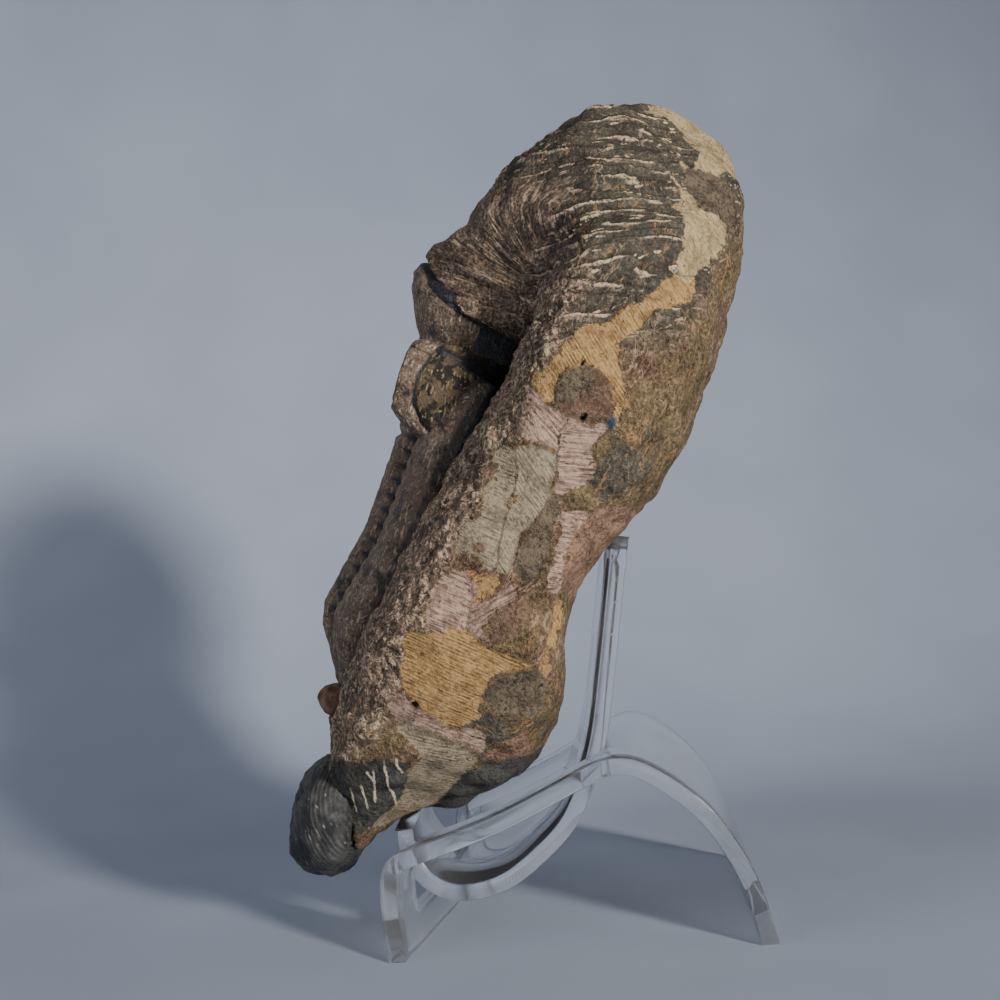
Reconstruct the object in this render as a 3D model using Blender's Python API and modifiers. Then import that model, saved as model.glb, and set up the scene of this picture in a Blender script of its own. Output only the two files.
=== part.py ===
"""Trilobite on its limestone block, leaning in a clear two-piece easel.

The block, the trilobite and the shell fragment are worked out in the block's own frame, in millimetres:
    along   up the long axis of the block, from its lower front corner
    front   towards the fossil side of the block
    depth   across the block, negative on the side that shows the ground patches
The stand is worked out in the world frame, in millimetres: x, depth and height.
"""
import math

import bmesh
import bpy
import numpy as np

MM = 0.001

# ---- block ----------------------------------------------------------------------------------------
LEAN = math.radians(29.6)            # the block leans back from the vertical
BLOCK_FOOT = (-38.1, 0.0, 10.4)      # the block's lower front corner in the world
BLOCK_CENTRE = (78.0, -2.5)          # middle of the side outline: along, front
BLOCK_OUTLINE = (                    # side outline at mid-depth, without the wall in front of the head
    (0.0, 0.5), (1.5, 4.0), (6.0, 8.0), (13.0, 10.5), (20.0, 11.8), (26.0, 14.3), (35.0, 15.5),
    (58.0, 15.7), (75.0, 15.2), (90.0, 14.2), (105.0, 14.8), (118.0, 16.4), (132.0, 17.0),
    (144.0, 17.0), (152.0, 16.0), (157.8, 11.6), (157.4, 3.5), (154.0, -4.8), (149.2, -10.0),
    (138.6, -14.8), (128.0, -17.4), (118.8, -19.0), (108.0, -20.2), (97.0, -20.8), (88.0, -20.0),
    (80.8, -18.4), (73.0, -16.4), (65.5, -15.4), (58.0, -17.2), (51.0, -20.4), (44.0, -22.6), (36.8, -22.4), (31.0, -20.2),
    (26.0, -16.4), (21.3, -11.6), (14.4, -4.9), (7.5, -2.0), (2.5, -0.8))
HALF_DEPTH_ALONG = (0.0, 12.0, 30.0, 50.0, 100.0, 130.0, 148.0, 158.0)
HALF_DEPTH = (22.0, 31.0, 41.0, 45.0, 46.0, 42.0, 33.0, 22.0)
ROUND_ALONG = (40.0, 75.0, 112.0, 135.0)
ROUNDNESS = (3.8, 3.6, 3.0, 2.3)     # exponent of the section: 2 is an ellipse, high is a box
WALL_ALONG = (108.0, 113.0, 115.0, 119.0, 126.0, 132.0, 139.0, 145.0, 151.0, 156.0)
WALL_RISE = (21.0, 21.6, 20.6, 18.2, 16.8, 15.2, 12.2, 9.3, 5.4, 0.0)
WALL_SPREAD_ALONG = (106.0, 124.0)   # the wall widens from beside the head to the block's top
WALL_HALF_DEPTH = (20.0, 37.0)
WALL_FALL = 1.6                      # how fast the wall drops to its two sides
REST_ALONG = 79.0                    # the back is hollowed a little where it leans on the stand
REST_HOLLOW = 2.1
REST_SPREAD = 8.0
SIDE_WAVES = 3                       # waves round the outline that are left on the two sides
LUMP = 0.9                           # height of the block's broad lumps
BLOCK_STEPS_ROUND = 62
BLOCK_STEPS_ACROSS = 27
BLOCK_CROWDING = (0.055, 0.33)       # how much closer the steps lie, and where round the outline
BED = 13.0                           # floor of the pocket that holds the trilobite
TRENCH_BED = 8.5                     # floor of the deeper trench round the front of the head
TRENCH_OUTER = (                     # outer edge of the trench: along, distance from the middle
    (84.0, 25.8), (88.0, 27.6), (94.0, 28.8), (100.0, 29.2), (105.0, 28.6), (108.8, 26.8),
    (107.6, 23.4), (106.0, 19.0), (104.0, 14.4))
TRENCH_ROWS = 12
TRENCH_TUCK = 0.7                    # the trench reaches this far in under the head's edge
GAP = 0.3                            # clearance between touching pieces

# ---- trilobite ------------------------------------------------------------------------------------
TAIL_TIP = 28.0
TAIL_END = 43.0                      # tail shield ends, first body segment begins
NECK = 76.0                          # last body segment ends, head begins
HEAD_FRONT = 112.0
SEGMENTS = 11
WIDTH_ALONG = (28.0, 29.5, 33.0, 38.0, 43.0, 52.0, 64.0, 76.0, 82.0, 88.0, 92.5, 97.0, 101.0,
               105.0, 108.5, 111.0, 112.0)
HALF_WIDTH = (2.5, 8.0, 13.6, 18.0, 20.3, 22.4, 23.4, 24.0, 25.0, 24.4, 22.0, 18.2, 15.4, 13.0,
              10.2, 6.4, 2.6)
CREST_ALONG = (28.0, 29.5, 31.0, 35.0, 39.0, 43.0, 51.0, 59.0, 69.0, 75.0, 78.0, 84.0, 90.0, 97.0,
               100.0, 104.6, 108.0, 110.0, 111.2, 112.0)
CREST = (15.6, 16.8, 18.4, 21.6, 25.2, 26.8, 26.5, 26.2, 27.2, 27.8, 27.4, 29.0, 30.8, 33.4,
         35.8, 38.9, 40.1, 39.4, 36.5, 30.0)
AXIS_ALONG = (28.0, 34.0, 43.0, 60.0, 76.0, 82.0, 92.0, 100.0, 106.0, 110.0, 112.0)
AXIS_HALF_WIDTH = (1.6, 4.0, 6.6, 7.8, 8.4, 8.6, 10.6, 13.2, 13.6, 8.4, 2.6)
AXIS_RISE_ALONG = (28.0, 36.0, 60.0, 76.0, 84.0, 98.0, 108.0, 112.0)
AXIS_RISE = (0.8, 3.0, 4.2, 4.6, 6.5, 12.0, 17.0, 10.0)
MARGIN = 15.2                        # height of the trilobite's edge above the block's datum
SEGMENT_GROOVE = 0.6
EYE_ALONG = 86.6
EYE_DEPTH = 16.6
EYE_HALF_LENGTH = 9.6
EYE_HALF_WIDTH = 5.2
EYE_TOP = 31.2
ROWS_TAIL = 10
ROWS_PER_SEGMENT = 4
ROWS_HEAD = 20
COLUMNS = 22

# ---- shell fragment at the block's foot -------------------------------------------------------------
SHELL_CENTRE = (10.6, 6.3, -15.0)    # along, front, depth
SHELL_RADII = (10.4, 6.2, 14.5)
SHELL_TILT = math.radians(20.0)      # its long way leans to the front
SHELL_BAND = 0.45                    # height of its growth bands
SHELL_BANDS = 7

# ---- stand ------------------------------------------------------------------------------------------
SHEET = 3.0                          # thickness of both acrylic pieces
CRADLE_HALF_WIDTH = 20.0
CRADLE_LINE = (                      # middle of the strip: x, height, from the lip to the top
    (-25.0, 20.2), (-24.3, 15.4), (-21.4, 11.0), (-17.2, 8.7), (-12.0, 8.6), (-6.6, 10.4),
    (-0.8, 14.6), (4.2, 19.6), (7.6, 26.0), (10.4, 34.0), (12.4, 44.6), (16.4, 70.4))
BASE_HALF_WIDTH = 32.0
BASE_LINE = (                        # outer face of the arch on its near edge: x, height
    (-27.2, -6.0), (-27.7, 0.0), (-28.5, 8.0), (-28.4, 14.0), (-27.0, 17.4), (-23.4, 19.0),
    (-16.0, 21.3), (-7.0, 24.6), (2.0, 28.8), (8.0, 31.7), (13.0, 32.9), (18.0, 31.6),
    (24.9, 26.9), (30.5, 20.9), (35.7, 11.3), (38.8, 0.0), (40.2, -6.0))
BASE_TWIST = (12.0, 3.4)             # how far the far edge lies to +x: at the front legs, at the rear
WINDOW_HALF_WIDTH = 20.6             # the cradle stands in a window of the arch
WINDOW_SILL = 5.4                    # height of the bar that is left between the front legs
WINDOW_REACH = 80.0
WINDOW_GLUE_HEIGHT = 33.0            # the cradle's back is glued to the window's edge at this height
BASE_COLUMNS = 3
CURVE_STEPS = 4                      # points between two given ones on the stand's smooth lines

COLOURS = {
    "limestone": ((0.17, 0.13, 0.085, 1.0), 0.9),
    "trilobite_shell": ((0.12, 0.095, 0.07, 1.0), 0.7),
    "dark_shell": ((0.035, 0.037, 0.036, 1.0), 0.55),
    "clear_acrylic": ((0.9, 0.93, 0.95, 1.0), 0.05),
}


def new_collection(name):
    """Return an empty collection of that name, linked into the scene."""
    collection = bpy.data.collections.get(name) or bpy.data.collections.new(name)
    if name not in bpy.context.scene.collection.children:
        bpy.context.scene.collection.children.link(collection)
    return collection


def material(slot):
    """Return the Principled material of one of the object's four finishes."""
    colour, roughness = COLOURS[slot]
    made = bpy.data.materials.get(slot) or bpy.data.materials.new(slot)
    made.use_nodes = True
    shader = made.node_tree.nodes["Principled BSDF"]
    shader.inputs["Base Color"].default_value = colour
    shader.inputs["Roughness"].default_value = roughness
    shader.inputs["Metallic"].default_value = 0.0
    if slot == "clear_acrylic":
        shader.inputs["Transmission Weight"].default_value = 1.0
        shader.inputs["IOR"].default_value = 1.49
    return made


def object_from(bm, name, collection, slot=None):
    """Turn a bmesh in millimetres into an object in metres."""
    bmesh.ops.recalc_face_normals(bm, faces=bm.faces)
    if bm.calc_volume(signed=True) < 0.0:
        bmesh.ops.reverse_faces(bm, faces=bm.faces)
    bmesh.ops.scale(bm, vec=(MM, MM, MM), verts=bm.verts)
    mesh = bpy.data.meshes.new(name)
    bm.to_mesh(mesh)
    bm.free()
    made = bpy.data.objects.new(name, mesh)
    collection.objects.link(made)
    if slot:
        mesh.materials.append(material(slot))
    return made


def as_cutter(cutter):
    """Keep a cutter out of the finished model."""
    cutter.hide_render = True
    cutter.display_type = "WIRE"
    return cutter


def cut(target, cutter):
    """Take the cutter's solid out of the target."""
    modifier = target.modifiers.new("cut_" + cutter.name, "BOOLEAN")
    modifier.operation = "DIFFERENCE"
    modifier.solver = "EXACT"
    modifier.object = cutter


def smooth_step(low, high, value):
    """0 below low, 1 above high, and an S-shaped rise between."""
    ramp = np.clip((value - low) / (high - low), 0.0, 1.0)
    return ramp * ramp * (3.0 - 2.0 * ramp)


def smooth_line(points, steps, closed=False):
    """Catmull-Rom curve through the points, with the given steps from one point to the next."""
    given = np.array(points, dtype=float)
    if closed:
        ends = np.concatenate((given[-1:], given, given[:2]))
    else:
        ends = np.concatenate((2 * given[:1] - given[1:2], given, 2 * given[-1:] - given[-2:-1]))
    part = np.linspace(0.0, 1.0, steps, endpoint=False)[:, None]
    pieces = []
    for before, start, end, after in zip(ends[:-3], ends[1:-2], ends[2:-1], ends[3:]):
        pieces.append(0.5 * (2 * start + (end - before) * part
                             + (2 * before - 5 * start + 4 * end - after) * part ** 2
                             + (3 * start - before - 3 * end + after) * part ** 3))
    if not closed:
        pieces.append(given[-1:])
    return np.concatenate(pieces)


def points_by_length(line, share):
    """Points on a closed line at the given shares, 0 to 1, of its length."""
    whole = np.concatenate((line, line[:1]))
    step = np.hypot(*np.diff(whole, axis=0).T)
    walked = np.concatenate(((0.0,), np.cumsum(step)))
    target = np.mod(share, 1.0) * walked[-1]
    return np.interp(target, walked, whole[:, 0]), np.interp(target, walked, whole[:, 1])


def offset_line(line, distance):
    """The line moved sideways, to its right-hand side, by the distance."""
    way = np.gradient(line, axis=0)
    way /= np.hypot(way[:, 0], way[:, 1])[:, None]
    return line + distance * np.stack((way[:, 1], -way[:, 0]), axis=1)


def place_on_block(along, front, depth):
    """Block frame to the object's own x, y, z: the back of the block is +x and its long axis +z."""
    return np.stack((-front, depth, along), axis=-1)


def lean_back(made):
    """Stand a piece of the block in the stand."""
    made.location = [value * MM for value in BLOCK_FOOT]
    made.rotation_euler = (0.0, LEAN, 0.0)


# ---- block ------------------------------------------------------------------------------------------
def lumps(along, front, depth):
    """Broad lumps of broken stone: a sum of a few slanted waves, from -1 to 1."""
    wave = np.sin(0.21 * along + 0.33 * depth + 1.3) * np.cos(0.27 * front - 0.12 * along)
    wave += 0.8 * np.sin(0.37 * along - 0.29 * depth + 0.4) * np.cos(0.41 * front + 0.23 * depth + 2.0)
    wave += 0.5 * np.sin(0.61 * along + 0.17 * front + 0.7 * depth)
    return wave / 2.3


def head_front(depth):
    """Where the rim of the head lies, along the block, at a depth."""
    widest = HALF_WIDTH.index(max(HALF_WIDTH))
    return np.interp(np.abs(depth), HALF_WIDTH[:widest:-1], WIDTH_ALONG[:widest:-1])


def wall_rise(along, depth):
    """Height of the wall of stone that was left in front of the head."""
    height = np.interp(along, WALL_ALONG, WALL_RISE)
    half_depth = np.interp(along, WALL_SPREAD_ALONG, WALL_HALF_DEPTH)
    across = np.clip(1.0 - (depth / half_depth) ** 2, 0.0, 1.0) ** WALL_FALL
    behind_rim = smooth_step(-4.0, 0.8, along - head_front(depth))
    return height * across * behind_rim


def block_point(share, latitude):
    """One point of the block: the side outline, drawn in and smoothed out as the depth grows."""
    outline = smooth_line(BLOCK_OUTLINE, 8, closed=True)
    share = share + BLOCK_CROWDING[0] * np.sin(2.0 * math.pi * (BLOCK_CROWDING[1] - share))
    along, front = points_by_length(outline, share)
    around = np.linspace(0.0, 1.0, 256, endpoint=False)
    waves = np.fft.rfft(np.array(points_by_length(outline, around)), axis=1)
    waves[:, SIDE_WAVES + 1:] = 0.0
    plain = np.fft.irfft(waves, 256, axis=1)
    plain_along = np.interp(share % 1.0, around, plain[0], period=1.0)
    plain_front = np.interp(share % 1.0, around, plain[1], period=1.0)
    drawn = along
    for _ in range(3):
        power = 2.0 / np.interp(drawn, ROUND_ALONG, ROUNDNESS)
        inward = np.abs(np.cos(latitude)) ** power
        detail = smooth_step(0.25, 0.9, inward)
        drawn = BLOCK_CENTRE[0] + (plain_along + (along - plain_along) * detail - BLOCK_CENTRE[0]) * inward
    front = plain_front + (front - plain_front) * detail
    front = BLOCK_CENTRE[1] + (front - BLOCK_CENTRE[1]) * inward
    along = drawn
    across = np.sign(np.sin(latitude)) * np.abs(np.sin(latitude)) ** power
    depth = across * np.interp(along, HALF_DEPTH_ALONG, HALF_DEPTH)
    on_front = smooth_step(2.0, 12.0, front)
    front = front + on_front * wall_rise(along, depth)
    swell = 1.0 + LUMP * lumps(along, front, depth) / 40.0
    along = BLOCK_CENTRE[0] + (along - BLOCK_CENTRE[0]) * swell
    front = BLOCK_CENTRE[1] + (front - BLOCK_CENTRE[1]) * swell
    rest = np.exp(-((along - REST_ALONG) / REST_SPREAD) ** 2) * (front < 0.0)
    rest = rest * (1.0 - smooth_step(CRADLE_HALF_WIDTH + 1.0, CRADLE_HALF_WIDTH + 10.0, np.abs(depth)))
    return along, front + REST_HOLLOW * rest, depth * swell


def make_block(collection, cutters):
    """The limestone block: a sphere drawn out to the block's shape, less the fossils' pockets."""
    bm = bmesh.new()
    bmesh.ops.create_uvsphere(bm, u_segments=BLOCK_STEPS_ROUND, v_segments=BLOCK_STEPS_ACROSS, radius=1.0)
    unit = np.array([vertex.co[:] for vertex in bm.verts])
    share = np.arctan2(unit[:, 1], unit[:, 0]) / (2.0 * math.pi)
    latitude = np.arcsin(np.clip(unit[:, 2], -1.0, 1.0))
    shaped = place_on_block(*block_point(share, latitude))
    for vertex, point in zip(bm.verts, shaped):
        vertex.co = point
    block = object_from(bm, "matrix_rock", collection, "limestone")
    lean_back(block)
    for side in (-1.0, 1.0):
        cut(block, make_trench(cutters, side))
    cut(block, make_pocket(cutters))
    cut(block, make_shell(cutters, "shell_pocket", GAP))
    return block


def make_pocket(cutters):
    """The trilobite's outline, a little wider, as a cutter that reaches down to the bed."""
    rows = trilobite_rows()
    near = offset_line(np.stack((rows, -np.interp(rows, WIDTH_ALONG, HALF_WIDTH)), axis=1), 2.0 * GAP)
    outline = np.concatenate((near, (near * (1.0, -1.0))[::-1]))
    bm = bmesh.new()
    ring = [bm.verts.new((-BED, depth, along)) for along, depth in outline]
    floor = bm.faces.new(ring)
    raised = bmesh.ops.extrude_face_region(bm, geom=[floor])["geom"]
    top = [part for part in raised if isinstance(part, bmesh.types.BMVert)]
    bmesh.ops.translate(bm, verts=top, vec=(-60.0, 0.0, 0.0))
    cutter = as_cutter(object_from(bm, "trilobite_pocket", cutters))
    lean_back(cutter)
    return cutter


def make_trench(cutters, side):
    """The deeper groove carved round one side of the head: a crescent outside the pocket's edge."""
    rows = np.linspace(TRENCH_OUTER[0][0], TRENCH_OUTER[-1][0] - 1.5, TRENCH_ROWS)
    rim = np.stack((rows, -np.interp(rows, WIDTH_ALONG, HALF_WIDTH)), axis=1)
    inner = offset_line(rim, -TRENCH_TUCK)
    outer = np.array(TRENCH_OUTER) * (1.0, -1.0)
    bm = bmesh.new()
    ring = [bm.verts.new((-TRENCH_BED, -side * depth, along))
            for along, depth in np.concatenate((inner, outer[::-1]))]
    floor = bm.faces.new(ring)
    raised = bmesh.ops.extrude_face_region(bm, geom=[floor])["geom"]
    top = [part for part in raised if isinstance(part, bmesh.types.BMVert)]
    bmesh.ops.translate(bm, verts=top, vec=(-60.0, 0.0, 0.0))
    cutter = as_cutter(object_from(bm, "trench_far" if side > 0.0 else "trench_near", cutters))
    lean_back(cutter)
    return cutter


# ---- trilobite --------------------------------------------------------------------------------------
def trilobite_rows():
    """Places along the trilobite: even on the tail and the head, four to each body segment."""
    return np.concatenate((
        np.linspace(TAIL_TIP, TAIL_END, ROWS_TAIL, endpoint=False),
        np.linspace(TAIL_END, NECK, SEGMENTS * ROWS_PER_SEGMENT, endpoint=False),
        np.linspace(NECK, HEAD_FRONT, ROWS_HEAD)))


def segment_groove(along):
    """Depth of the grooves between body segments, and of the fainter ones on the tail."""
    body = np.abs(np.sin(math.pi * (along - TAIL_END) / (NECK - TAIL_END) * SEGMENTS))
    on_body = smooth_step(TAIL_END - 0.5, TAIL_END, along) * (1.0 - smooth_step(NECK, NECK + 0.5, along))
    return SEGMENT_GROOVE * (1.0 - body ** 0.7) * on_body


def eye_height(along, depth):
    """Height that the two eyes reach: tall kidney-shaped turrets, steep on the outer side."""
    length = (along - EYE_ALONG) / EYE_HALF_LENGTH
    bend = 2.2 * length ** 2
    outward = (np.abs(depth) + bend - EYE_DEPTH) / EYE_HALF_WIDTH
    inside = length ** 4 + np.abs(outward) ** 4
    top = EYE_TOP - 1.2 * length ** 2 + 1.4 * length
    return np.where(inside < 1.0, top - (top - MARGIN) * inside ** 2 * 0.35, 0.0)


def trilobite_height(along, depth):
    """Upper surface of the trilobite: domed axis, sloping sides, rings and eyes."""
    width = np.interp(along, WIDTH_ALONG, HALF_WIDTH)
    axis = np.interp(along, AXIS_ALONG, AXIS_HALF_WIDTH)
    rise = np.interp(along, AXIS_RISE_ALONG, AXIS_RISE)
    crest = np.interp(along, CREST_ALONG, CREST)
    shoulder = np.maximum(crest - rise, MARGIN)
    beside = np.abs(depth)
    outward = np.clip((beside - axis) / np.maximum(width - axis, 0.1), 0.0, 1.0)
    side = MARGIN + (shoulder - MARGIN) * np.sqrt(1.0 - outward ** 2.2)
    dome = shoulder + (crest - shoulder) * np.sqrt(np.clip(1.0 - (depth / axis) ** 2, 0.0, 1.0))
    height = np.where(beside < axis, dome, side)
    height = height - 0.9 * np.exp(-((beside - axis) / 1.1) ** 2) * (outward < 0.5)
    height = height - segment_groove(along) * (1.0 - outward ** 6)
    return np.maximum(height, eye_height(along, depth))


def make_trilobite(collection):
    """The trilobite as one solid, from its margin to its flat underside in the pocket."""
    rows = trilobite_rows()
    across = np.sin(np.linspace(-0.5, 0.5, COLUMNS + 1) * math.pi * 0.86) / math.sin(0.43 * math.pi)
    along = np.repeat(rows[:, None], COLUMNS + 1, axis=1)
    depth = np.interp(along, WIDTH_ALONG, HALF_WIDTH) * across[None, :]
    top = place_on_block(along, trilobite_height(along, depth), depth)
    bm = bmesh.new()
    grid = [[bm.verts.new(point) for point in row] for row in top]
    for lower, upper in zip(grid[:-1], grid[1:]):
        for left in range(COLUMNS):
            bm.faces.new((lower[left], lower[left + 1], upper[left + 1], upper[left]))
    rim = [edge for edge in bm.edges if edge.is_boundary]
    skirt = bmesh.ops.extrude_edge_only(bm, edges=rim)["geom"]
    foot = [part for part in skirt if isinstance(part, bmesh.types.BMVert)]
    for vertex in foot:
        vertex.co.x = -(BED + GAP)
    bmesh.ops.contextual_create(bm, geom=[edge for edge in bm.edges if edge.is_boundary])
    made = object_from(bm, "trilobite", collection, "trilobite_shell")
    lean_back(made)
    return made


# ---- shell fragment ---------------------------------------------------------------------------------
def make_shell(collection, name="shell_fragment", grow=0.0):
    """The dark shell at the block's foot: a blunt lump with raised growth bands round its long side."""
    bm = bmesh.new()
    bmesh.ops.create_uvsphere(bm, u_segments=26, v_segments=12, radius=1.0)
    unit = np.array([vertex.co[:] for vertex in bm.verts])
    band = 1.0 - np.abs(np.sin(0.5 * SHELL_BANDS * math.pi * (unit[:, 1] * 0.7 + 0.3 * unit[:, 0])))
    size = np.array(SHELL_RADII) + grow
    swell = 1.0 + (SHELL_BAND * band / SHELL_RADII[0] if not grow else SHELL_BAND / SHELL_RADII[0])
    blunt = np.sign(unit) * np.abs(unit) ** 0.85
    length = blunt[:, 0] * size[0] * swell
    height = blunt[:, 1] * size[1] * swell
    along = SHELL_CENTRE[0] + length * math.cos(SHELL_TILT) - height * math.sin(SHELL_TILT)
    front = SHELL_CENTRE[1] + length * math.sin(SHELL_TILT) + height * math.cos(SHELL_TILT)
    depth = SHELL_CENTRE[2] + blunt[:, 2] * size[2] * swell
    for vertex, point in zip(bm.verts, place_on_block(along, front, depth)):
        vertex.co = point
    made = object_from(bm, name, collection, None if grow else "dark_shell")
    lean_back(made)
    return as_cutter(made) if grow else made


# ---- stand ------------------------------------------------------------------------------------------
def make_cradle(collection):
    """The hooked strip that holds the block: its side outline, extruded to the strip's width."""
    middle = smooth_line(CRADLE_LINE, CURVE_STEPS)
    outline = np.concatenate((offset_line(middle, SHEET / 2.0), offset_line(middle, -SHEET / 2.0)[::-1]))
    curve = bpy.data.curves.new("stand_cradle", "CURVE")
    curve.dimensions = "2D"
    curve.fill_mode = "BOTH"
    curve.extrude = CRADLE_HALF_WIDTH * MM
    spline = curve.splines.new("POLY")
    spline.points.add(len(outline) - 1)
    for point, (x, height) in zip(spline.points, outline):
        point.co = (x * MM, height * MM, 0.0, 1.0)
    spline.use_cyclic_u = True
    curve.materials.append(material("clear_acrylic"))
    made = bpy.data.objects.new("stand_cradle", curve)
    made.rotation_euler = (math.pi / 2.0, 0.0, 0.0)
    collection.objects.link(made)
    return made


def make_base(collection, cutters):
    """The arched sheet: a ruled surface between its two edges, with the cradle's window cut out."""
    outer = smooth_line(BASE_LINE, CURVE_STEPS)
    edges = np.linspace(-BASE_HALF_WIDTH, BASE_HALF_WIDTH, BASE_COLUMNS + 1)
    reach = (outer[:, 0] - outer[0, 0]) / (outer[-1, 0] - outer[0, 0])
    twist = BASE_TWIST[0] + (BASE_TWIST[1] - BASE_TWIST[0]) * reach
    share = (edges + BASE_HALF_WIDTH) / (2.0 * BASE_HALF_WIDTH)
    x = outer[:, 0][:, None] + twist[:, None] * share[None, :]
    bm = bmesh.new()
    rows = [[bm.verts.new((x[row, column], edges[column], outer[row, 1]))
             for column in range(BASE_COLUMNS + 1)] for row in range(len(outer))]
    for lower, upper in zip(rows[:-1], rows[1:]):
        for left in range(BASE_COLUMNS):
            bm.faces.new((lower[left], lower[left + 1], upper[left + 1], upper[left]))
    made = object_from(bm, "stand_base", collection, "clear_acrylic")
    up = max(made.data.polygons, key=lambda face: face.center.z).normal.z
    solidify = made.modifiers.new("sheet", "SOLIDIFY")
    solidify.thickness = SHEET * MM
    solidify.offset = -1.0 if up > 0.0 else 1.0
    solidify.use_even_offset = True
    bm = bmesh.new()
    bmesh.ops.create_cube(bm, size=100.0)
    bmesh.ops.translate(bm, verts=bm.verts, vec=(0.0, 0.0, -50.0))
    cut(made, as_cutter(object_from(bm, "floor", cutters)))
    back = float(np.interp(WINDOW_GLUE_HEIGHT, *reversed(np.array(CRADLE_LINE)[-4:].T))) + SHEET / 2.0 + GAP
    bm = bmesh.new()
    bmesh.ops.create_cube(bm, size=1.0)
    bmesh.ops.scale(bm, vec=(WINDOW_REACH, 2.0 * WINDOW_HALF_WIDTH, WINDOW_REACH), verts=bm.verts)
    bmesh.ops.translate(bm, verts=bm.verts, vec=(back - WINDOW_REACH / 2.0, 0.0,
                                                 WINDOW_SILL + WINDOW_REACH / 2.0))
    cut(made, as_cutter(object_from(bm, "window", cutters)))
    return made


def centre_on_floor(collections):
    """Move everything sideways so that the middle of the finished object stands at the origin."""
    bpy.context.view_layer.update()
    graph = bpy.context.evaluated_depsgraph_get()
    corners = []
    for made in collections[0].objects:
        seen = made.evaluated_get(graph)
        mesh = seen.to_mesh()
        points = np.empty(len(mesh.vertices) * 3)
        mesh.vertices.foreach_get("co", points)
        turn = np.array(seen.matrix_world)
        corners.append(points.reshape(-1, 3) @ turn[:3, :3].T + turn[:3, 3])
        seen.to_mesh_clear()
    every = np.concatenate(corners)
    middle = (every.min(axis=0) + every.max(axis=0)) / 2.0
    for collection in collections:
        for made in collection.objects:
            made.location.x -= float(middle[0])
            made.location.y -= float(middle[1])
    print("size in mm", np.round((every.max(axis=0) - every.min(axis=0)) / MM, 1),
          "moved by", np.round(-middle[:2] / MM, 2))


def main():
    """Build the whole object."""
    for old in list(bpy.data.objects):
        bpy.data.objects.remove(old, do_unlink=True)
    parts = new_collection("trilobite_fossil")
    cutters = new_collection("cutters")
    make_block(parts, cutters)
    make_trilobite(parts)
    make_shell(parts)
    make_cradle(parts)
    make_base(parts, cutters)
    centre_on_floor((parts, cutters))


main()
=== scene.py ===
# %% [markdown]
# # A trilobite in its block of limestone, on a clear stand
# The object is a leaning block of dark limestone, with a trilobite worked free on its front, a scrap of dark
# shell at its foot, and a bent strip and an arched sheet of clear acrylic that carry it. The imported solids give
# the frame. Each piece below is a finer surface that takes the place of one solid and stays on its outline.

# %% Load the frame
import math

import bpy
import numpy as np
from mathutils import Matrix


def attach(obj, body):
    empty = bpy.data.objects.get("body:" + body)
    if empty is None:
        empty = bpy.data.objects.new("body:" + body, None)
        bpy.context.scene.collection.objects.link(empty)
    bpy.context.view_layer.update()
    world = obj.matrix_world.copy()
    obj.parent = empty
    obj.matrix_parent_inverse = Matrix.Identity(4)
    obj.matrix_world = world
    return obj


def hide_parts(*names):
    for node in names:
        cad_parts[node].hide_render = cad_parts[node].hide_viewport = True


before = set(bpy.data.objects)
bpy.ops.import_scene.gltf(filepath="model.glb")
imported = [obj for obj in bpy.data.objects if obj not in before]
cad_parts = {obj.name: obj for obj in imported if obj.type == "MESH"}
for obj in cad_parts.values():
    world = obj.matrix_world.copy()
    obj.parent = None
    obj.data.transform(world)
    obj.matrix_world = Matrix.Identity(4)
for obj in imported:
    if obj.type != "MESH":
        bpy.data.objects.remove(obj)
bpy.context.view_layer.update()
MM = 0.001
print("solids:", sorted(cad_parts))

# %% [markdown]
# Every shape here is worked out as whole numpy arrays, in millimetres. A few small helpers do the rest: a soft
# step, a smooth line through given points, points spread evenly along a line, and a line moved sideways.

# %% Lines and steps


def smooth_step(low, high, value):
    """0 below low, 1 above high and t*t*(3 - 2t) between, with t = (value - low) / (high - low)."""
    t = np.clip((value - low) / (high - low), 0.0, 1.0)
    return t * t * (3.0 - 2.0 * t)


def smooth_line(points, steps, closed=False):
    """Catmull-Rom curve: between b and c it is (2b + (c-a)t + (2a-5b+4c-d)t^2 + (3b-a-3c+d)t^3) / 2."""
    given = np.array(points, dtype=float)
    if closed:
        ends = np.concatenate((given[-1:], given, given[:2]))
    else:
        ends = np.concatenate((2 * given[:1] - given[1:2], given, 2 * given[-1:] - given[-2:-1]))
    a, b, c, d = (ends[i:len(ends) - 3 + i, None, :] for i in range(4))
    t = np.linspace(0.0, 1.0, steps, endpoint=False)[None, :, None]
    line = 0.5 * (2 * b + (c - a) * t + (2 * a - 5 * b + 4 * c - d) * t ** 2
                  + (3 * b - a - 3 * c + d) * t ** 3)
    line = line.reshape(-1, given.shape[1])
    return line if closed else np.concatenate((line, given[-1:]))


def walked(line):
    """Distance walked along a line to each of its points: the running sum of its steps."""
    return np.concatenate(((0.0,), np.cumsum(np.hypot(*np.diff(line, axis=0).T))))


def points_by_length(line, share):
    """Points on a closed line at the given shares, 0 to 1, of its length."""
    whole = np.concatenate((line, line[:1]))
    length = walked(whole)
    target = np.mod(share, 1.0) * length[-1]
    return np.interp(target, length, whole[:, 0]), np.interp(target, length, whole[:, 1])


def offset_line(line, distance):
    """The line moved to its right-hand side: p + distance * (way_y, -way_x)."""
    way = np.gradient(line, axis=0)
    way /= np.hypot(way[:, 0], way[:, 1])[:, None]
    return line + distance * np.stack((way[:, 1], -way[:, 0]), axis=1)


# %% [markdown]
# Broken stone is never smooth. Two kinds of roughness are added to the surfaces: soft lumps, which are random
# values at the corners of a lattice blended by soft steps, and pits, which are the distances to random points.
# The random values come from a fixed formula of the lattice place, so each run gives the same stone.

# %% Roughness


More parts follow.
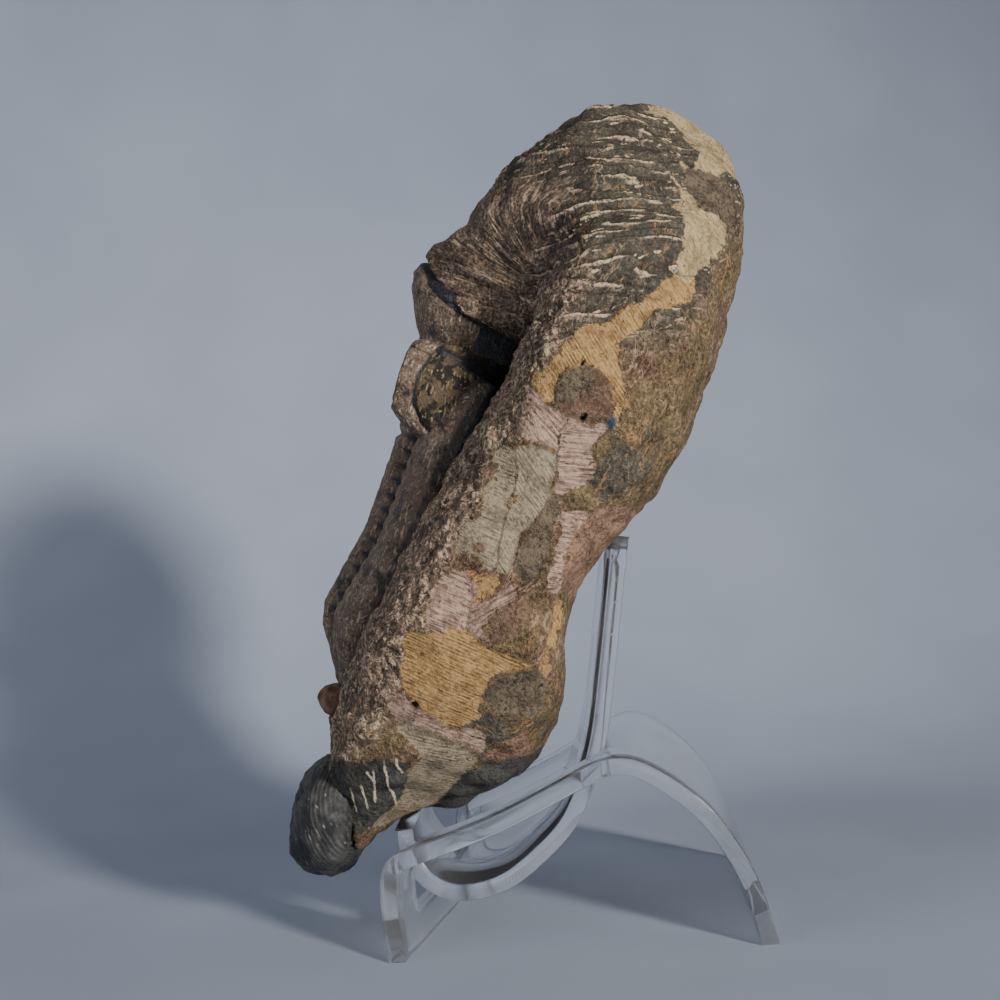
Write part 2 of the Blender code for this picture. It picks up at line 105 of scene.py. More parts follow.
def random_at(place, seed):
    """A value from 0 to 1 for each whole-number place: bits mixed by multiplying and shifting."""
    mixed = (place[..., 0] * 73856093) ^ (place[..., 1] * 19349663) ^ (place[..., 2] * 83492791)
    mixed = ((mixed ^ (seed * 2654435)) * 2246822519) & 0xFFFFFFFF
    mixed = ((mixed ^ (mixed >> 13)) * 3266489917) & 0xFFFFFFFF
    return ((mixed ^ (mixed >> 16)) & 0xFFFFFF) / 0xFFFFFF


CORNERS = [(i, j, k) for i in (0, 1) for j in (0, 1) for k in (0, 1)]


def lumps(points, size, seed):
    """Lattice noise from -1 to 1: sum over the 8 corners of random * product of the soft steps."""
    cell = points / size
    low = np.floor(cell).astype(np.int64)
    t = cell - low
    t = t * t * (3.0 - 2.0 * t)
    total = np.zeros(points.shape[:-1])
    for corner in CORNERS:
        weight = np.prod(np.where(corner, t, 1.0 - t), axis=-1)
        total += weight * random_at(low + np.array(corner), seed)
    return 2.0 * total - 1.0


def broken(points, size, seed, layers=3):
    """Rough stone from about -1 to 1: lumps, and in each layer half as large and half as high ones."""
    total = sum(lumps(points, size / 2.0 ** i, seed + i) * 0.5 ** i for i in range(layers))
    return total / (2.0 - 0.5 ** (layers - 1))


def pits(points, size, seed):
    """Distance, in cells, to the nearest of one random point in each cell of a lattice."""
    cell = points / size
    low = np.floor(cell).astype(np.int64)
    nearest = np.full(points.shape[:-1], 9.0)
    around = [(i, j, k) for i in (-1, 0, 1) for j in (-1, 0, 1) for k in (-1, 0, 1)]
    for step in around:
        place = low + np.array(step)
        point = place + np.stack([random_at(place, seed + i) for i in range(3)], axis=-1)
        nearest = np.minimum(nearest, np.linalg.norm(point - cell, axis=-1))
    return nearest


# %% [markdown]
# A surface becomes a mesh from its grid of points. The faces of a grid follow from its row and column numbers,
# and one sum over the faces, the signed volume, tells whether they point outwards.

# %% From grids to meshes


def grid_faces(index, wrap=False):
    """Quads of a grid of vertex numbers: each joins (i, j), (i, j+1), (i+1, j+1) and (i+1, j)."""
    if wrap:
        index = np.concatenate((index, index[:, :1]), axis=1)
    return np.stack((index[:-1, :-1], index[:-1, 1:], index[1:, 1:], index[1:, :-1]), axis=-1).reshape(-1, 4)


def fan(ring, tip):
    """Triangles from each side of a closed ring of vertex numbers to one tip."""
    return np.stack((ring, np.roll(ring, -1), np.full(len(ring), tip)), axis=1)


def volume(points, faces):
    """Six times the signed volume: the sum of a . (b x c) over the triangles of every face."""
    total = 0.0
    for group in faces:
        for i in range(1, group.shape[1] - 1):
            a, b, c = points[group[:, 0]], points[group[:, i]], points[group[:, i + 1]]
            total += np.einsum("ij,ij->", a, np.cross(b, c))
    return total


def make_piece(name, points, faces, finish, smooth=True):
    """Puts points in mm and lists of faces into a mesh whose faces point outwards."""
    points = points.reshape(-1, 3)
    if volume(points - points.mean(axis=0), faces) < 0.0:
        faces = [group[:, ::-1] for group in faces]
    mesh = bpy.data.meshes.new(name)
    mesh.from_pydata((points * MM).tolist(), [], [face for group in faces for face in group.tolist()])
    mesh.polygons.foreach_set("use_smooth", np.full(len(mesh.polygons), smooth))
    mesh.materials.append(finish)
    piece = bpy.data.objects.new(name, mesh)
    bpy.context.scene.collection.objects.link(piece)
    return piece


def raise_surface(piece, height):
    """Moves each vertex along its normal by a height in mm."""
    mesh = piece.data
    count = len(mesh.vertices)
    points, normals = np.empty(count * 3), np.empty(count * 3)
    mesh.vertices.foreach_get("co", points)
    mesh.vertex_normals.foreach_get("vector", normals)
    points += normals * np.repeat(height, 3) * MM
    mesh.vertices.foreach_set("co", points)
    mesh.update()


def tell(piece, name, values):
    """Gives every vertex a number that the finish can read by name."""
    layer = piece.data.attributes.new(name, "FLOAT", "POINT")
    layer.data.foreach_set("value", np.ascontiguousarray(values, dtype=np.float32).ravel())


def fit(piece, node):
    """Lets the piece ride on the stand's one body and take the place of its solid."""
    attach(piece, "root")
    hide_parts(node)
    mesh = piece.data
    mesh.calc_loop_triangles()
    print(piece.name, len(mesh.loop_triangles), "triangles")


# %% [markdown]
# The block leans in its stand, so its shape is worked out in a frame of its own: along its length from the foot,
# to the front, where the fossil lies, and in depth from side to side. One turn stands it up.

# %% The leaning frame
LEAN = math.radians(29.6)
FOOT = (-37.82, 0.06, 10.4)


def stand_up(along, front, depth):
    """x = along sin L - front cos L, y = depth, z = along cos L + front sin L, from the block's foot."""
    x = along * math.sin(LEAN) - front * math.cos(LEAN)
    z = along * math.cos(LEAN) + front * math.sin(LEAN)
    return np.stack((x, depth + 0.0 * x, z), axis=-1) + np.array(FOOT)


# %% [markdown]
# Finishes are built from nodes. These helpers add a node with its values and return one of its outputs, so a
# finish reads as a list of steps. Colours are given as the 0 to 255 numbers a paint chart uses.

# %% Node helpers


def add(tree, kind, inputs=None, out=0, **settings):
    """Adds a node, sets or links its inputs by name or number, and returns one output."""
    node = tree.nodes.new("ShaderNode" + kind)
    for key, value in settings.items():
        setattr(node, key, value)
    for key, value in (inputs or {}).items():
        if isinstance(value, bpy.types.NodeSocket):
            tree.links.new(value, node.inputs[key])
        else:
            node.inputs[key].default_value = value
    return node.outputs[out]


def paint(red, green, blue):
    """A chart colour as linear light: ((c + 0.055) / 1.055) ** 2.4."""
    chart = np.array((red, green, blue)) / 255.0
    linear = np.where(chart > 0.04045, ((chart + 0.055) / 1.055) ** 2.4, chart / 12.92)
    return (*linear.tolist(), 1.0)


def calc(tree, operation, a, b=0.0, c=0.0):
    return add(tree, "Math", {0: a, 1: b, 2: c}, operation=operation)


def mix(tree, share, below, above, way="MIX"):
    """Colour above laid over colour below by a share from 0 to 1."""
    return add(tree, "Mix", {0: share, 6: below, 7: above}, out=2, data_type="RGBA", blend_type=way)


def soft(tree, value, low, high, start=0.0, end=1.0):
    """A soft step from start at low to end at high."""
    inputs = {"Value": value, "From Min": low, "From Max": high, "To Min": start, "To Max": end}
    return add(tree, "MapRange", inputs, interpolation_type="SMOOTHSTEP")


def place_mm(tree):
    """Places on the piece in millimetres."""
    where = add(tree, "TexCoord", out=3)
    return add(tree, "VectorMath", {0: where, 3: 1000.0}, operation="SCALE")


def turned(tree, where, angles, scale=(1.0, 1.0, 1.0)):
    """The place turned by angles in degrees and then scaled."""
    first = add(tree, "VectorRotate", {"Vector": where, "Rotation": [math.radians(a) for a in angles]},
                rotation_type="EULER_XYZ")
    return add(tree, "VectorMath", {0: first, 1: scale}, operation="MULTIPLY")


def noise(tree, where, size, detail=2.0, rough=0.5, twist=0.0, out=0):
    """Cloudy noise whose blots are about size across."""
    inputs = {"Vector": where, "Scale": 1.0 / size, "Detail": detail, "Roughness": rough, "Distortion": twist}
    return add(tree, "TexNoise", inputs, out=out)


def told(tree, name):
    """The number that the mesh tells for a name."""
    return add(tree, "Attribute", out=2, attribute_name=name)


def new_group(name, inputs, outputs):
    """A node group with named inputs and outputs; returns it with its first and last node."""
    group = bpy.data.node_groups.new(name, "ShaderNodeTree")
    for label, kind, value in inputs:
        socket = group.interface.new_socket(label, in_out="INPUT", socket_type="NodeSocket" + kind)
        socket.default_value = value
    for label, kind in outputs:
        group.interface.new_socket(label, in_out="OUTPUT", socket_type="NodeSocket" + kind)
    return group, group.nodes.new("NodeGroupInput").outputs, group.nodes.new("NodeGroupOutput").inputs


def use(tree, group, inputs):
    """Places a group in a material and returns its outputs."""
    node = tree.nodes.new("ShaderNodeGroup")
    node.node_tree = group
    for key, value in inputs.items():
        if isinstance(value, bpy.types.NodeSocket):
            tree.links.new(value, node.inputs[key])
        else:
            node.inputs[key].default_value = value
    return node.outputs


def new_finish(name, **values):
    """A material with one Principled shader; returns it with its tree and shader."""
    finish = bpy.data.materials.new(name)
    finish.use_nodes = True
    shader = finish.node_tree.nodes["Principled BSDF"]
    for label, value in values.items():
        shader.inputs[label.replace("_", " ")].default_value = value
    return finish, finish.node_tree, shader


# %% [markdown]
# Five effects come back in several finishes, so each is a group. Grain is the fine crystal of the stone. Strokes
# are the straight pale cuts that a scribing tool leaves: stretched cells, each with a slim oval of its own length.
# Squiggles are its short curled cuts, the places where a cloudy noise crosses its middle value. Grooves are the
# fine parallel lines of a grinding wheel. Edge turns a distance to an outline into a ragged mask.

# %% Grain
GRAIN, entry, end = new_group(
    "stone_grain", [("Place", "Vector", (0, 0, 0)), ("Size", "Float", 0.5)], [("Grain", "Float"), ("Fleck", "Float")])
tree = GRAIN
scaled = add(tree, "VectorMath", {0: entry["Place"], 3: calc(tree, "DIVIDE", 1.0, entry["Size"])}, operation="SCALE")
tree.links.new(noise(tree, scaled, 1.6, 3.0, 0.7), end["Grain"])
cell = add(tree, "TexVoronoi", {"Vector": scaled, "Scale": 0.8}, out=0)
tree.links.new(soft(tree, cell, 0.12, 0.34, 1.0, 0.0), end["Fleck"])

# %% Strokes
STROKES, entry, end = new_group(
    "tool_strokes",
    [("Place", "Vector", (0, 0, 0)), ("Length", "Float", 6.0), ("Width", "Float", 0.5), ("Wander", "Float", 1.5),
     ("Share", "Float", 0.5)], [("Mask", "Float")])
tree = STROKES
drift = noise(tree, entry["Place"], 7.0, 1.0, out=1)
drift = add(tree, "VectorMath", {0: drift, 1: (0.5, 0.5, 0.5)}, operation="SUBTRACT")
drift = add(tree, "VectorMath", {0: drift, 3: entry["Wander"]}, operation="SCALE")
drifted = add(tree, "VectorMath", {0: entry["Place"], 1: drift}, operation="ADD")
slim = add(tree, "CombineXYZ", {0: calc(tree, "DIVIDE", 1.0, entry["Length"]),
                                1: calc(tree, "DIVIDE", 1.0, entry["Width"]),
                                2: calc(tree, "DIVIDE", 1.0, entry["Width"])})
stretched = add(tree, "VectorMath", {0: drifted, 1: slim}, operation="MULTIPLY")
cells = tree.nodes.new("ShaderNodeTexVoronoi")
cells.inputs["Scale"].default_value = 0.5
tree.links.new(stretched, cells.inputs["Vector"])
chance = add(tree, "SeparateColor", {0: cells.outputs["Color"]}, out=0)
limit = calc(tree, "MULTIPLY", calc(tree, "GREATER_THAN", entry["Share"], chance), 0.3)
limit = calc(tree, "MULTIPLY", limit, calc(tree, "ADD", chance, 0.7))
depth = calc(tree, "SUBTRACT", limit, cells.outputs["Distance"])
tree.links.new(soft(tree, depth, 0.0, 0.12), end["Mask"])

# %% Grooves
GROOVES, entry, end = new_group(
    "ground_grooves", [("Place", "Vector", (0, 0, 0)), ("Spacing", "Float", 0.7)], [("Height", "Float")])
tree = GROOVES
bend = noise(tree, entry["Place"], 8.0, 2.0)
lift = add(tree, "SeparateXYZ", {0: entry["Place"]}, out=2)
turns = calc(tree, "DIVIDE", calc(tree, "MULTIPLY_ADD", bend, 0.9, lift), entry["Spacing"])
wave = calc(tree, "SINE", calc(tree, "MULTIPLY", turns, 2.0 * math.pi))
weak = soft(tree, noise(tree, turned(tree, entry["Place"], (0, 0, 0), (0.12, 1.0, 0.6)), 1.0, 2.0), 0.36, 0.62)
streak = noise(tree, turned(tree, entry["Place"], (0, 0, 0), (0.1, 1.0, 1.0)), 0.42, 3.0, 0.7)
level = calc(tree, "MULTIPLY_ADD", calc(tree, "MULTIPLY", wave, weak), 0.14, 0.5)
streak = calc(tree, "SUBTRACT", streak, 0.5)
tree.links.new(calc(tree, "MULTIPLY_ADD", streak, 1.8, level), end["Height"])

# %% Squiggles
SQUIGGLES, entry, end = new_group(
    "tool_squiggles", [("Place", "Vector", (0, 0, 0)), ("Size", "Float", 1.6), ("Slim", "Float", 0.03)],
    [("Mask", "Float"), ("Shade", "Float")])
tree = SQUIGGLES
scaled = add(tree, "VectorMath", {0: entry["Place"], 3: calc(tree, "DIVIDE", 1.0, entry["Size"])}, operation="SCALE")
curl = noise(tree, scaled, 1.0, 2.0, 0.55, 1.6)
away = calc(tree, "ABSOLUTE", calc(tree, "SUBTRACT", curl, 0.5))
gate = soft(tree, noise(tree, scaled, 0.8, 1.0), 0.44, 0.56)
line = add(tree, "MapRange", {"Value": away, "From Min": entry["Slim"], "From Max": 0.0}, interpolation_type="LINEAR")
tree.links.new(calc(tree, "MULTIPLY", line, gate), end["Mask"])
tree.links.new(curl, end["Shade"])

# %% Edge
EDGE, entry, end = new_group(
    "patch_edge", [("Distance", "Float", 0.0), ("Place", "Vector", (0, 0, 0)), ("Ragged", "Float", 1.6)],
    [("Mask", "Float")])
tree = EDGE
ragged = calc(tree, "SUBTRACT", noise(tree, entry["Place"], 2.6, 5.0, 0.75), 0.5)
shifted = calc(tree, "MULTIPLY_ADD", ragged, entry["Ragged"], entry["Distance"])
tree.links.new(soft(tree, shifted, -0.12, 0.12), end["Mask"])
print("groups:", [group.name for group in bpy.data.node_groups])

# %% [markdown]
# ## The block
# The block is one sawn and broken lump, so it is one closed surface. Its two parameters are the share of the way
# round the side outline, and a latitude that runs from the near side, over the front and back, to the far side.
# A superellipse draws the outline in towards the two sides. These numbers are the outline of the stone itself.

# %% Numbers of the block
BLOCK_CENTRE = (78.0, -2.5)
BLOCK_OUTLINE = (
    (0.0, 0.5), (1.5, 4.0), (6.0, 8.0), (13.0, 10.5), (20.0, 11.8), (26.0, 14.3), (35.0, 15.5), (58.0, 15.7),
    (75.0, 15.2), (90.0, 14.2), (105.0, 14.8), (118.0, 16.4), (132.0, 17.0), (144.0, 17.0), (152.0, 16.0),
    (157.8, 11.6), (157.4, 3.5), (154.0, -4.8), (149.2, -10.0), (138.6, -14.8), (128.0, -17.4), (118.8, -19.0),
    (108.0, -20.2), (97.0, -20.8), (88.0, -20.0), (80.8, -18.4), (73.0, -16.4), (65.5, -15.4), (58.0, -17.2),
    (51.0, -20.4), (44.0, -22.6), (36.8, -22.4), (31.0, -20.2), (26.0, -16.4), (21.3, -11.6), (14.4, -4.9),
    (7.5, -2.0), (2.5, -0.8))
HALF_DEPTH_ALONG = (0.0, 12.0, 30.0, 50.0, 100.0, 130.0, 148.0, 158.0)
HALF_DEPTH = (22.0, 31.0, 41.0, 45.0, 46.0, 42.0, 33.0, 22.0)
ROUND_ALONG = (40.0, 75.0, 112.0, 135.0)
ROUNDNESS = (3.8, 3.6, 3.0, 2.3)
WALL_ALONG = (108.0, 113.0, 115.0, 119.0, 126.0, 132.0, 139.0, 145.0, 151.0, 156.0)
WALL_RISE = (23.6, 22.3, 20.9, 18.2, 16.8, 15.2, 12.2, 9.3, 5.4, 0.0)
WALL_SPREAD_ALONG = (106.0, 124.0)
WALL_HALF_DEPTH = (20.0, 37.0)
WALL_FALL = (2.6, 1.35)
REST_ALONG, REST_HOLLOW, REST_SPREAD = 79.0, 2.1, 8.0
SIDE_WAVES, LUMP, CROWDING = 3, 0.9, (0.055, 0.33)
CRADLE_HALF_WIDTH = 20.0
BED, TRENCH_BED = 13.0, 8.5
WIDTH_ALONG = (28.0, 29.5, 33.0, 38.0, 43.0, 52.0, 64.0, 76.0, 82.0, 88.0, 92.5, 97.0, 101.0, 105.0, 108.5,
               111.0, 112.0)
HALF_WIDTH = (2.5, 8.0, 13.6, 18.0, 20.3, 22.4, 23.4, 24.0, 25.0, 24.4, 22.0, 18.2, 15.4, 13.0, 10.2, 6.4, 2.6)
TRENCH_OUTER = ((90.5, 24.4), (94.0, 25.6), (99.0, 26.8), (104.0, 27.4), (108.0, 26.4), (108.2, 23.6),
                (106.2, 20.6), (104.2, 17.8), (102.6, 15.2))
TRENCH_INNER = ((101.0, 10.0), (97.0, 14.0), (92.5, 19.0), (90.5, 22.0))
OUTLINE = smooth_line(BLOCK_OUTLINE, 8, closed=True)
print("round the block:", round(walked(OUTLINE)[-1]), "mm")

# %% Shape of the block


def broad_waves(along, front, depth):
    """The broad lumps of the solid: a sum of a few slanted sines, from -1 to 1."""
    wave = np.sin(0.21 * along + 0.33 * depth + 1.3) * np.cos(0.27 * front - 0.12 * along)
    wave += 0.8 * np.sin(0.37 * along - 0.29 * depth + 0.4) * np.cos(0.41 * front + 0.23 * depth + 2.0)
    return (wave + 0.5 * np.sin(0.61 * along + 0.17 * front + 0.7 * depth)) / 2.3


def head_front(depth):
    """Where the rim of the head lies, along the block, at a depth."""
    widest = HALF_WIDTH.index(max(HALF_WIDTH))
    return np.interp(np.abs(depth), HALF_WIDTH[:widest:-1], WIDTH_ALONG[:widest:-1])


def wall_rise(along, depth):
    """The wall in front of the head: height(along) * (1 - |depth / half|^2.6)^1.35, cut off at the rim."""
    half = np.interp(along, WALL_SPREAD_ALONG, WALL_HALF_DEPTH)
    across = np.clip(1.0 - np.abs(depth / half) ** WALL_FALL[0], 0.0, 1.0) ** WALL_FALL[1]
    return np.interp(along, WALL_ALONG, WALL_RISE) * across * smooth_step(-6.0, -1.2, along - head_front(depth))


def block_surface(share, latitude):
    """centre + (outline(share) - centre) * cos(latitude)^p in the side view, and half depth * sin(latitude)^p
    across, with p = 2 / roundness. The outline loses its small waves towards the sides."""
    share = share + CROWDING[0] * np.sin(2.0 * math.pi * (CROWDING[1] - share))
    along, front = points_by_length(OUTLINE, share)
    around = np.linspace(0.0, 1.0, 256, endpoint=False)
    waves = np.fft.rfft(np.array(points_by_length(OUTLINE, around)), axis=1)
    waves[:, SIDE_WAVES + 1:] = 0.0
    plain = np.fft.irfft(waves, 256, axis=1)
    plain_along = np.interp(share % 1.0, around, plain[0], period=1.0)
    plain_front = np.interp(share % 1.0, around, plain[1], period=1.0)
    drawn = along
    for _ in range(3):
        power = 2.0 / np.interp(drawn, ROUND_ALONG, ROUNDNESS)
        inward = np.abs(np.cos(latitude)) ** power
        detail = smooth_step(0.25, 0.9, inward)
        drawn = BLOCK_CENTRE[0] + (plain_along + (along - plain_along) * detail - BLOCK_CENTRE[0]) * inward
    front = BLOCK_CENTRE[1] + (plain_front + (front - plain_front) * detail - BLOCK_CENTRE[1]) * inward
    across = np.sign(np.sin(latitude)) * np.abs(np.sin(latitude)) ** power
    depth = across * np.interp(drawn, HALF_DEPTH_ALONG, HALF_DEPTH)
    front = front + smooth_step(2.0, 12.0, front) * wall_rise(drawn, depth)
    swell = 1.0 + LUMP * broad_waves(drawn, front, depth) / 40.0
    along = BLOCK_CENTRE[0] + (drawn - BLOCK_CENTRE[0]) * swell
    front = BLOCK_CENTRE[1] + (front - BLOCK_CENTRE[1]) * swell
    rest = np.exp(-((along - REST_ALONG) / REST_SPREAD) ** 2) * (front < 0.0)
    rest = rest * (1.0 - smooth_step(CRADLE_HALF_WIDTH + 1.0, CRADLE_HALF_WIDTH + 10.0, np.abs(depth)))
    return along, front + REST_HOLLOW * rest, depth * swell


# %% [markdown]
# Grid lines would bunch up at the two sides and leave wide gaps beside them. So the latitudes are spaced by the
# length of the superellipse between them, with more rows on the near half, where the ground faces are.

# %% Grid of the block
ROWS_NEAR, ROWS_FAR, COLUMNS = 150, 84, 400


def even_latitudes(count):
    """Latitudes from -90 degrees to 0, evenly spaced along the curve (60 cos^0.6, 46 sin^0.6)."""
    fine = np.linspace(-math.pi / 2, 0.0, 4001)
    curve = np.stack((60.0 * np.abs(np.cos(fine)) ** 0.6, 46.0 * np.abs(np.sin(fine)) ** 0.6), axis=1)
    length = walked(curve)
    return np.interp(np.linspace(0.0, length[-1], count + 1), length, fine)


latitudes = np.concatenate((even_latitudes(ROWS_NEAR), -even_latitudes(ROWS_FAR)[-2::-1]))
shares = np.arange(COLUMNS) / COLUMNS
along, front, depth = block_surface(shares[None, :], latitudes[1:-1, None])
tips = np.array(block_surface(np.zeros(2), latitudes[[0, -1]]))
along, front, depth = (np.append(part.ravel(), tip) for part, tip in zip((along, front, depth), tips))
print(len(along), "points")

# %% [markdown]
# The trilobite lies in a bed that follows its outline, and on both sides of the head a deeper trench was cut.
# Each hollow is a limit on the height of the front, which sets in over a fraction of a millimetre.
# Whether a point is inside a drawn outline, and how far, comes from the distance to the outline's sides.

# %% Hollows


def inside_by(outline, a, b):
    """Distance to the nearest side of a closed outline, positive inside it."""
    start = np.array(outline, dtype=float)
    side = np.roll(start, -1, axis=0) - start
    nearest = np.full(a.shape, 1e9)
    inside = np.zeros(a.shape, dtype=bool)
    for (p, q), (dp, dq) in zip(start, side):
        t = np.clip(((a - p) * dp + (b - q) * dq) / (dp * dp + dq * dq), 0.0, 1.0)
        nearest = np.minimum(nearest, np.hypot(a - p - t * dp, b - q - t * dq))
        if dq:
            inside ^= ((b >= q) != (b >= q + dq)) & (a < p + dp * (b - q) / dq)
    return np.where(inside, nearest, -nearest)


BODY_OUTLINE = np.concatenate((np.stack((WIDTH_ALONG, HALF_WIDTH), axis=1),
                               np.stack((WIDTH_ALONG, -np.array(HALF_WIDTH)), axis=1)[::-1]))
in_body = inside_by(BODY_OUTLINE, along, depth)
in_trench = inside_by(smooth_line(TRENCH_OUTER + TRENCH_INNER, 4, closed=True), along, np.abs(depth))
on_front = front > 6.0
overlap = 2.0 * smooth_step(101.0, 106.0, along)
bed = smooth_step(-0.35, 0.1, in_body - overlap) * on_front
trench = smooth_step(-0.5, 0.5, in_trench) * on_front
uncut = front.copy()
front = front - np.maximum(front - BED, 0.0) * bed
front = front - np.maximum(front - TRENCH_BED, 0.0) * trench
print("bed and trench points:", int(bed.sum()), int(trench.sum()))

# %% [markdown]
# The shell fragment sits half sunk in the foot. Its seat is found with rays from a point inside the stone: where
# a ray meets the shell's ellipsoid before it reaches the surface, the surface is drawn back to that place.

# %% Seat of the shell
SHELL_CENTRE, SHELL_RADII, SHELL_TILT = (10.6, 6.3, -15.0), (10.4, 6.2, 14.5), math.radians(20.0)
SEAT_FROM = np.array((32.0, -3.0, -12.0))


def to_shell(along, front, depth, size):
    """Block frame to the shell's own frame, in which the ellipsoid is a sphere of radius 1."""
    u, w = along - SHELL_CENTRE[0], front - SHELL_CENTRE[1]
    turned_back = (u * math.cos(SHELL_TILT) + w * math.sin(SHELL_TILT),
                   w * math.cos(SHELL_TILT) - u * math.sin(SHELL_TILT), depth - SHELL_CENTRE[2])
    return np.stack(turned_back, axis=-1) / (np.array(SHELL_RADII) * size)


start = to_shell(*SEAT_FROM, 1.03)
way = to_shell(along, front, depth, 1.03) - start
a, b, c = (way ** 2).sum(axis=1), way @ start, (start ** 2).sum() - 1.0
meets = (b * b > a * c) & (b < 0.0)
t = np.where(meets, (-b - np.sqrt(np.maximum(b * b - a * c, 0.0))) / a, 1.0)
seat = t < 1.0
t = np.where(seat, t, 1.0)
along, front, depth = (f + (p - f) * t for f, p in zip(SEAT_FROM, (along, front, depth)))
print("points drawn back for the shell:", int(seat.sum()))

# %% [markdown]
# ## Where the stone was ground
# The near side was ground flat in patches that show the colours inside the stone: ochre, pinkish, olive grey.
# Each patch is drawn by a few points in the block's frame, along and front. A distance to the outline is told
# to the finish, which gives the patch a ragged edge finer than the mesh.

# %% Outlines of the patches
PATCHES = {
    "ochre": (
        (62, ((124, -8), (119, -10), (114, -5), (109, -4), (106, -2), (102, -5), (98, -7), (94, -8), (96, -5),
              (99, -4), (101, -1), (99, 3), (96, 4), (93, 3), (92, 5), (95, 8), (99, 6), (105, 5), (109, 1),
              (114, -2), (122, -5))),
        (27, ((53.5, 1), (53.5, -2), (52.5, -5), (53, -9), (53.5, -13.5), (51, -11.5), (49, -8.5), (44, -8.5),
              (41, -9), (38, -6.5), (37, -4), (38, 0), (39, 2.5), (42, 5), (46.5, 7), (48.5, 7.5), (50, 4.5),
              (52, 3))),
        (-20, ((62, 3), (63.5, -1.5), (62.5, -2.5), (58.5, -1), (56.5, 0), (60, 1.5))),
        (70, ((63.5, -12), (59, -13.5), (54.5, -14), (52, -15), (52.5, -16), (56, -15), (60, -14.5), (64, -13))),
        (30, ((46, -9.5), (46.8, -12.5), (46.2, -15), (45.2, -12)))),
    "pink": (
        (52, ((94, 8), (92, 4), (91.5, -0.5), (88.5, -0.3), (85.5, -2), (86, 2), (84.5, 6), (86.5, 7), (89, 7.5))),
        (9, ((91.5, -0.5), (94, -7), (90, -6), (86, -8), (84, -8), (79, -4), (81, -3), (84, -2), (88, -0.3))),
        (14, ((77, -5.5), (79.5, -11), (75, -10), (71.5, -10), (67, -12), (65, -10), (68.5, -8.5), (75, -7.5))),
        (27, ((59, 7), (61, 4.5), (61, 1.5), (57, 0), (53.5, -1), (53, 1), (50.5, 4.5), (52, 6), (54.5, 6.5))),
        (-28, ((57, 0), (60.5, -3), (62.5, -4), (62.5, -6), (59.5, -4.5), (55, -3), (53, -5.5), (53.5, -1))),
        (24, ((36, 5), (39, 4.5), (38.5, 2.5), (37.5, -5.5), (39, -8.5), (38.5, -12), (35, -12), (35.5, -7.5),
              (35, 0.5), (34, 2)))),
    "olive": (
        (58, ((82, 5), (84, 5), (85, 2), (85, -1.5), (81, -3), (76, -3), (70, -2), (66, -3), (64, -1), (70, 1),
              (77, 2))),
        (28, ((82, 8), (83.5, 6), (80, 3), (72, 1.5), (65, -1), (63.5, 1), (65, 3.5), (64, 6.5), (67, 8),
              (71, 5.5), (74, 6.5), (79, 6.5))),
        (17, ((34, 2), (35, 0.5), (35.5, -7.5), (35, -12), (31, -12), (24, -11), (18, -8), (14, -4.5), (14, -1),
              (18, -2.5), (26, -3), (31, -3.5), (32, -1.5), (33, 1)))),
    "purple": (
        (80, ((98.5, 2.5), (100.5, 0), (99, -4), (95, -6.5), (92, -4), (92, -2), (92.5, 1.5), (93.5, 3),
              (96.5, 3.5))),
        (80, ((60, -5), (62, -8), (60, -9), (56, -8.5), (54, -6), (54.5, -4), (57.5, -4))),
        (80, ((66.5, 4.5), (67.5, 2.8), (66, 2.2), (65.5, 3.4)))),
    "dark": (
        (70, ((47, -8), (49, -8.5), (51, -11.5), (52.5, -15), (50, -17), (46, -17), (44.5, -14), (43, -10.5),
              (44.5, -8.5))),
        (70, ((98.6, 2.4), (100.2, 0.3), (98.6, -1.8), (96.2, -0.6), (94.2, 0.2), (93.4, 2.8), (96.5, 3.4))),
        (60, ((143, 1), (146, -3), (144, -9), (138, -11), (137, -5), (139, -1))),
        (40, ((80, -3.5), (76, -3.4), (70, -2.6), (66, -3.4), (64, -6), (66, -7.5), (70, -7.5), (76, -6),
              (79, -5)))),
    "slate": (
        (84, ((22, 9.5), (25.5, 4.5), (28, 0), (28.5, -2.6), (26, -3), (20, -3.6), (14, -1), (10, 3), (10, 8),
              (16, 10))),
        (75, ((26, -10.5), (31.5, -12), (33, -13), (35.5, -16), (38, -20), (40, -24), (35, -25), (28, -22),
              (22, -15), (20, -10)))),
    "red": (
        (5, ((35, -14), (35, -13), (37.5, -13), (40.5, -15.5), (42, -17), (41, -19), (39, -19.5), (36, -16.5))),
        (5, ((80, -11), (82, -13), (83, -18), (74, -18), (68, -17), (65, -15), (67, -12), (71.5, -10),
             (75, -10))),
        (5, ((17, -5.6), (20, -8.2), (19, -11), (12, -6), (7, -3), (8, 0.5), (12, -2.5)))),
    "khaki": (
        (55, ((140, 3), (138.5, -1), (137, -5), (138, -9), (133, -11), (124, -9), (121, -6), (131.5, -3),
              (133.5, 0), (137.5, 0))),),
}
TOP_FACET = ((13, -14), (8, -12.5), (4.5, -14), (1, -16), (-0.2, -19.5), (0.6, -22), (3.3, -25), (-1, -23),
             (-4.5, -20.3), (-6.1, -15), (-9, 0), (-7, 14), (6, 12), (13, 0))
SCRATCHES = (((27.6, 2.2), (18.7, -4.0)), ((28.7, 0.4), (26.3, -2.1)), ((24.9, 2.9), (18.7, -0.3)),
             ((21.2, 3.7), (16.8, 0.4)), ((19.5, 5.1), (15.2, 1.9)), ((23.9, 3.8), (22.4, 1.7)))
FAR_SHARE = {"ochre": 0.34, "pink": 0.46, "olive": 0.38, "purple": 0.44, "dark": 0.3, "slate": 0.6, "red": 0.5, "khaki": 0.5}
print(sum(len(group) for group in PATCHES.values()), "patches")

# %% Distances to the patches
solid_place = np.stack((along, front, depth), axis=-1)


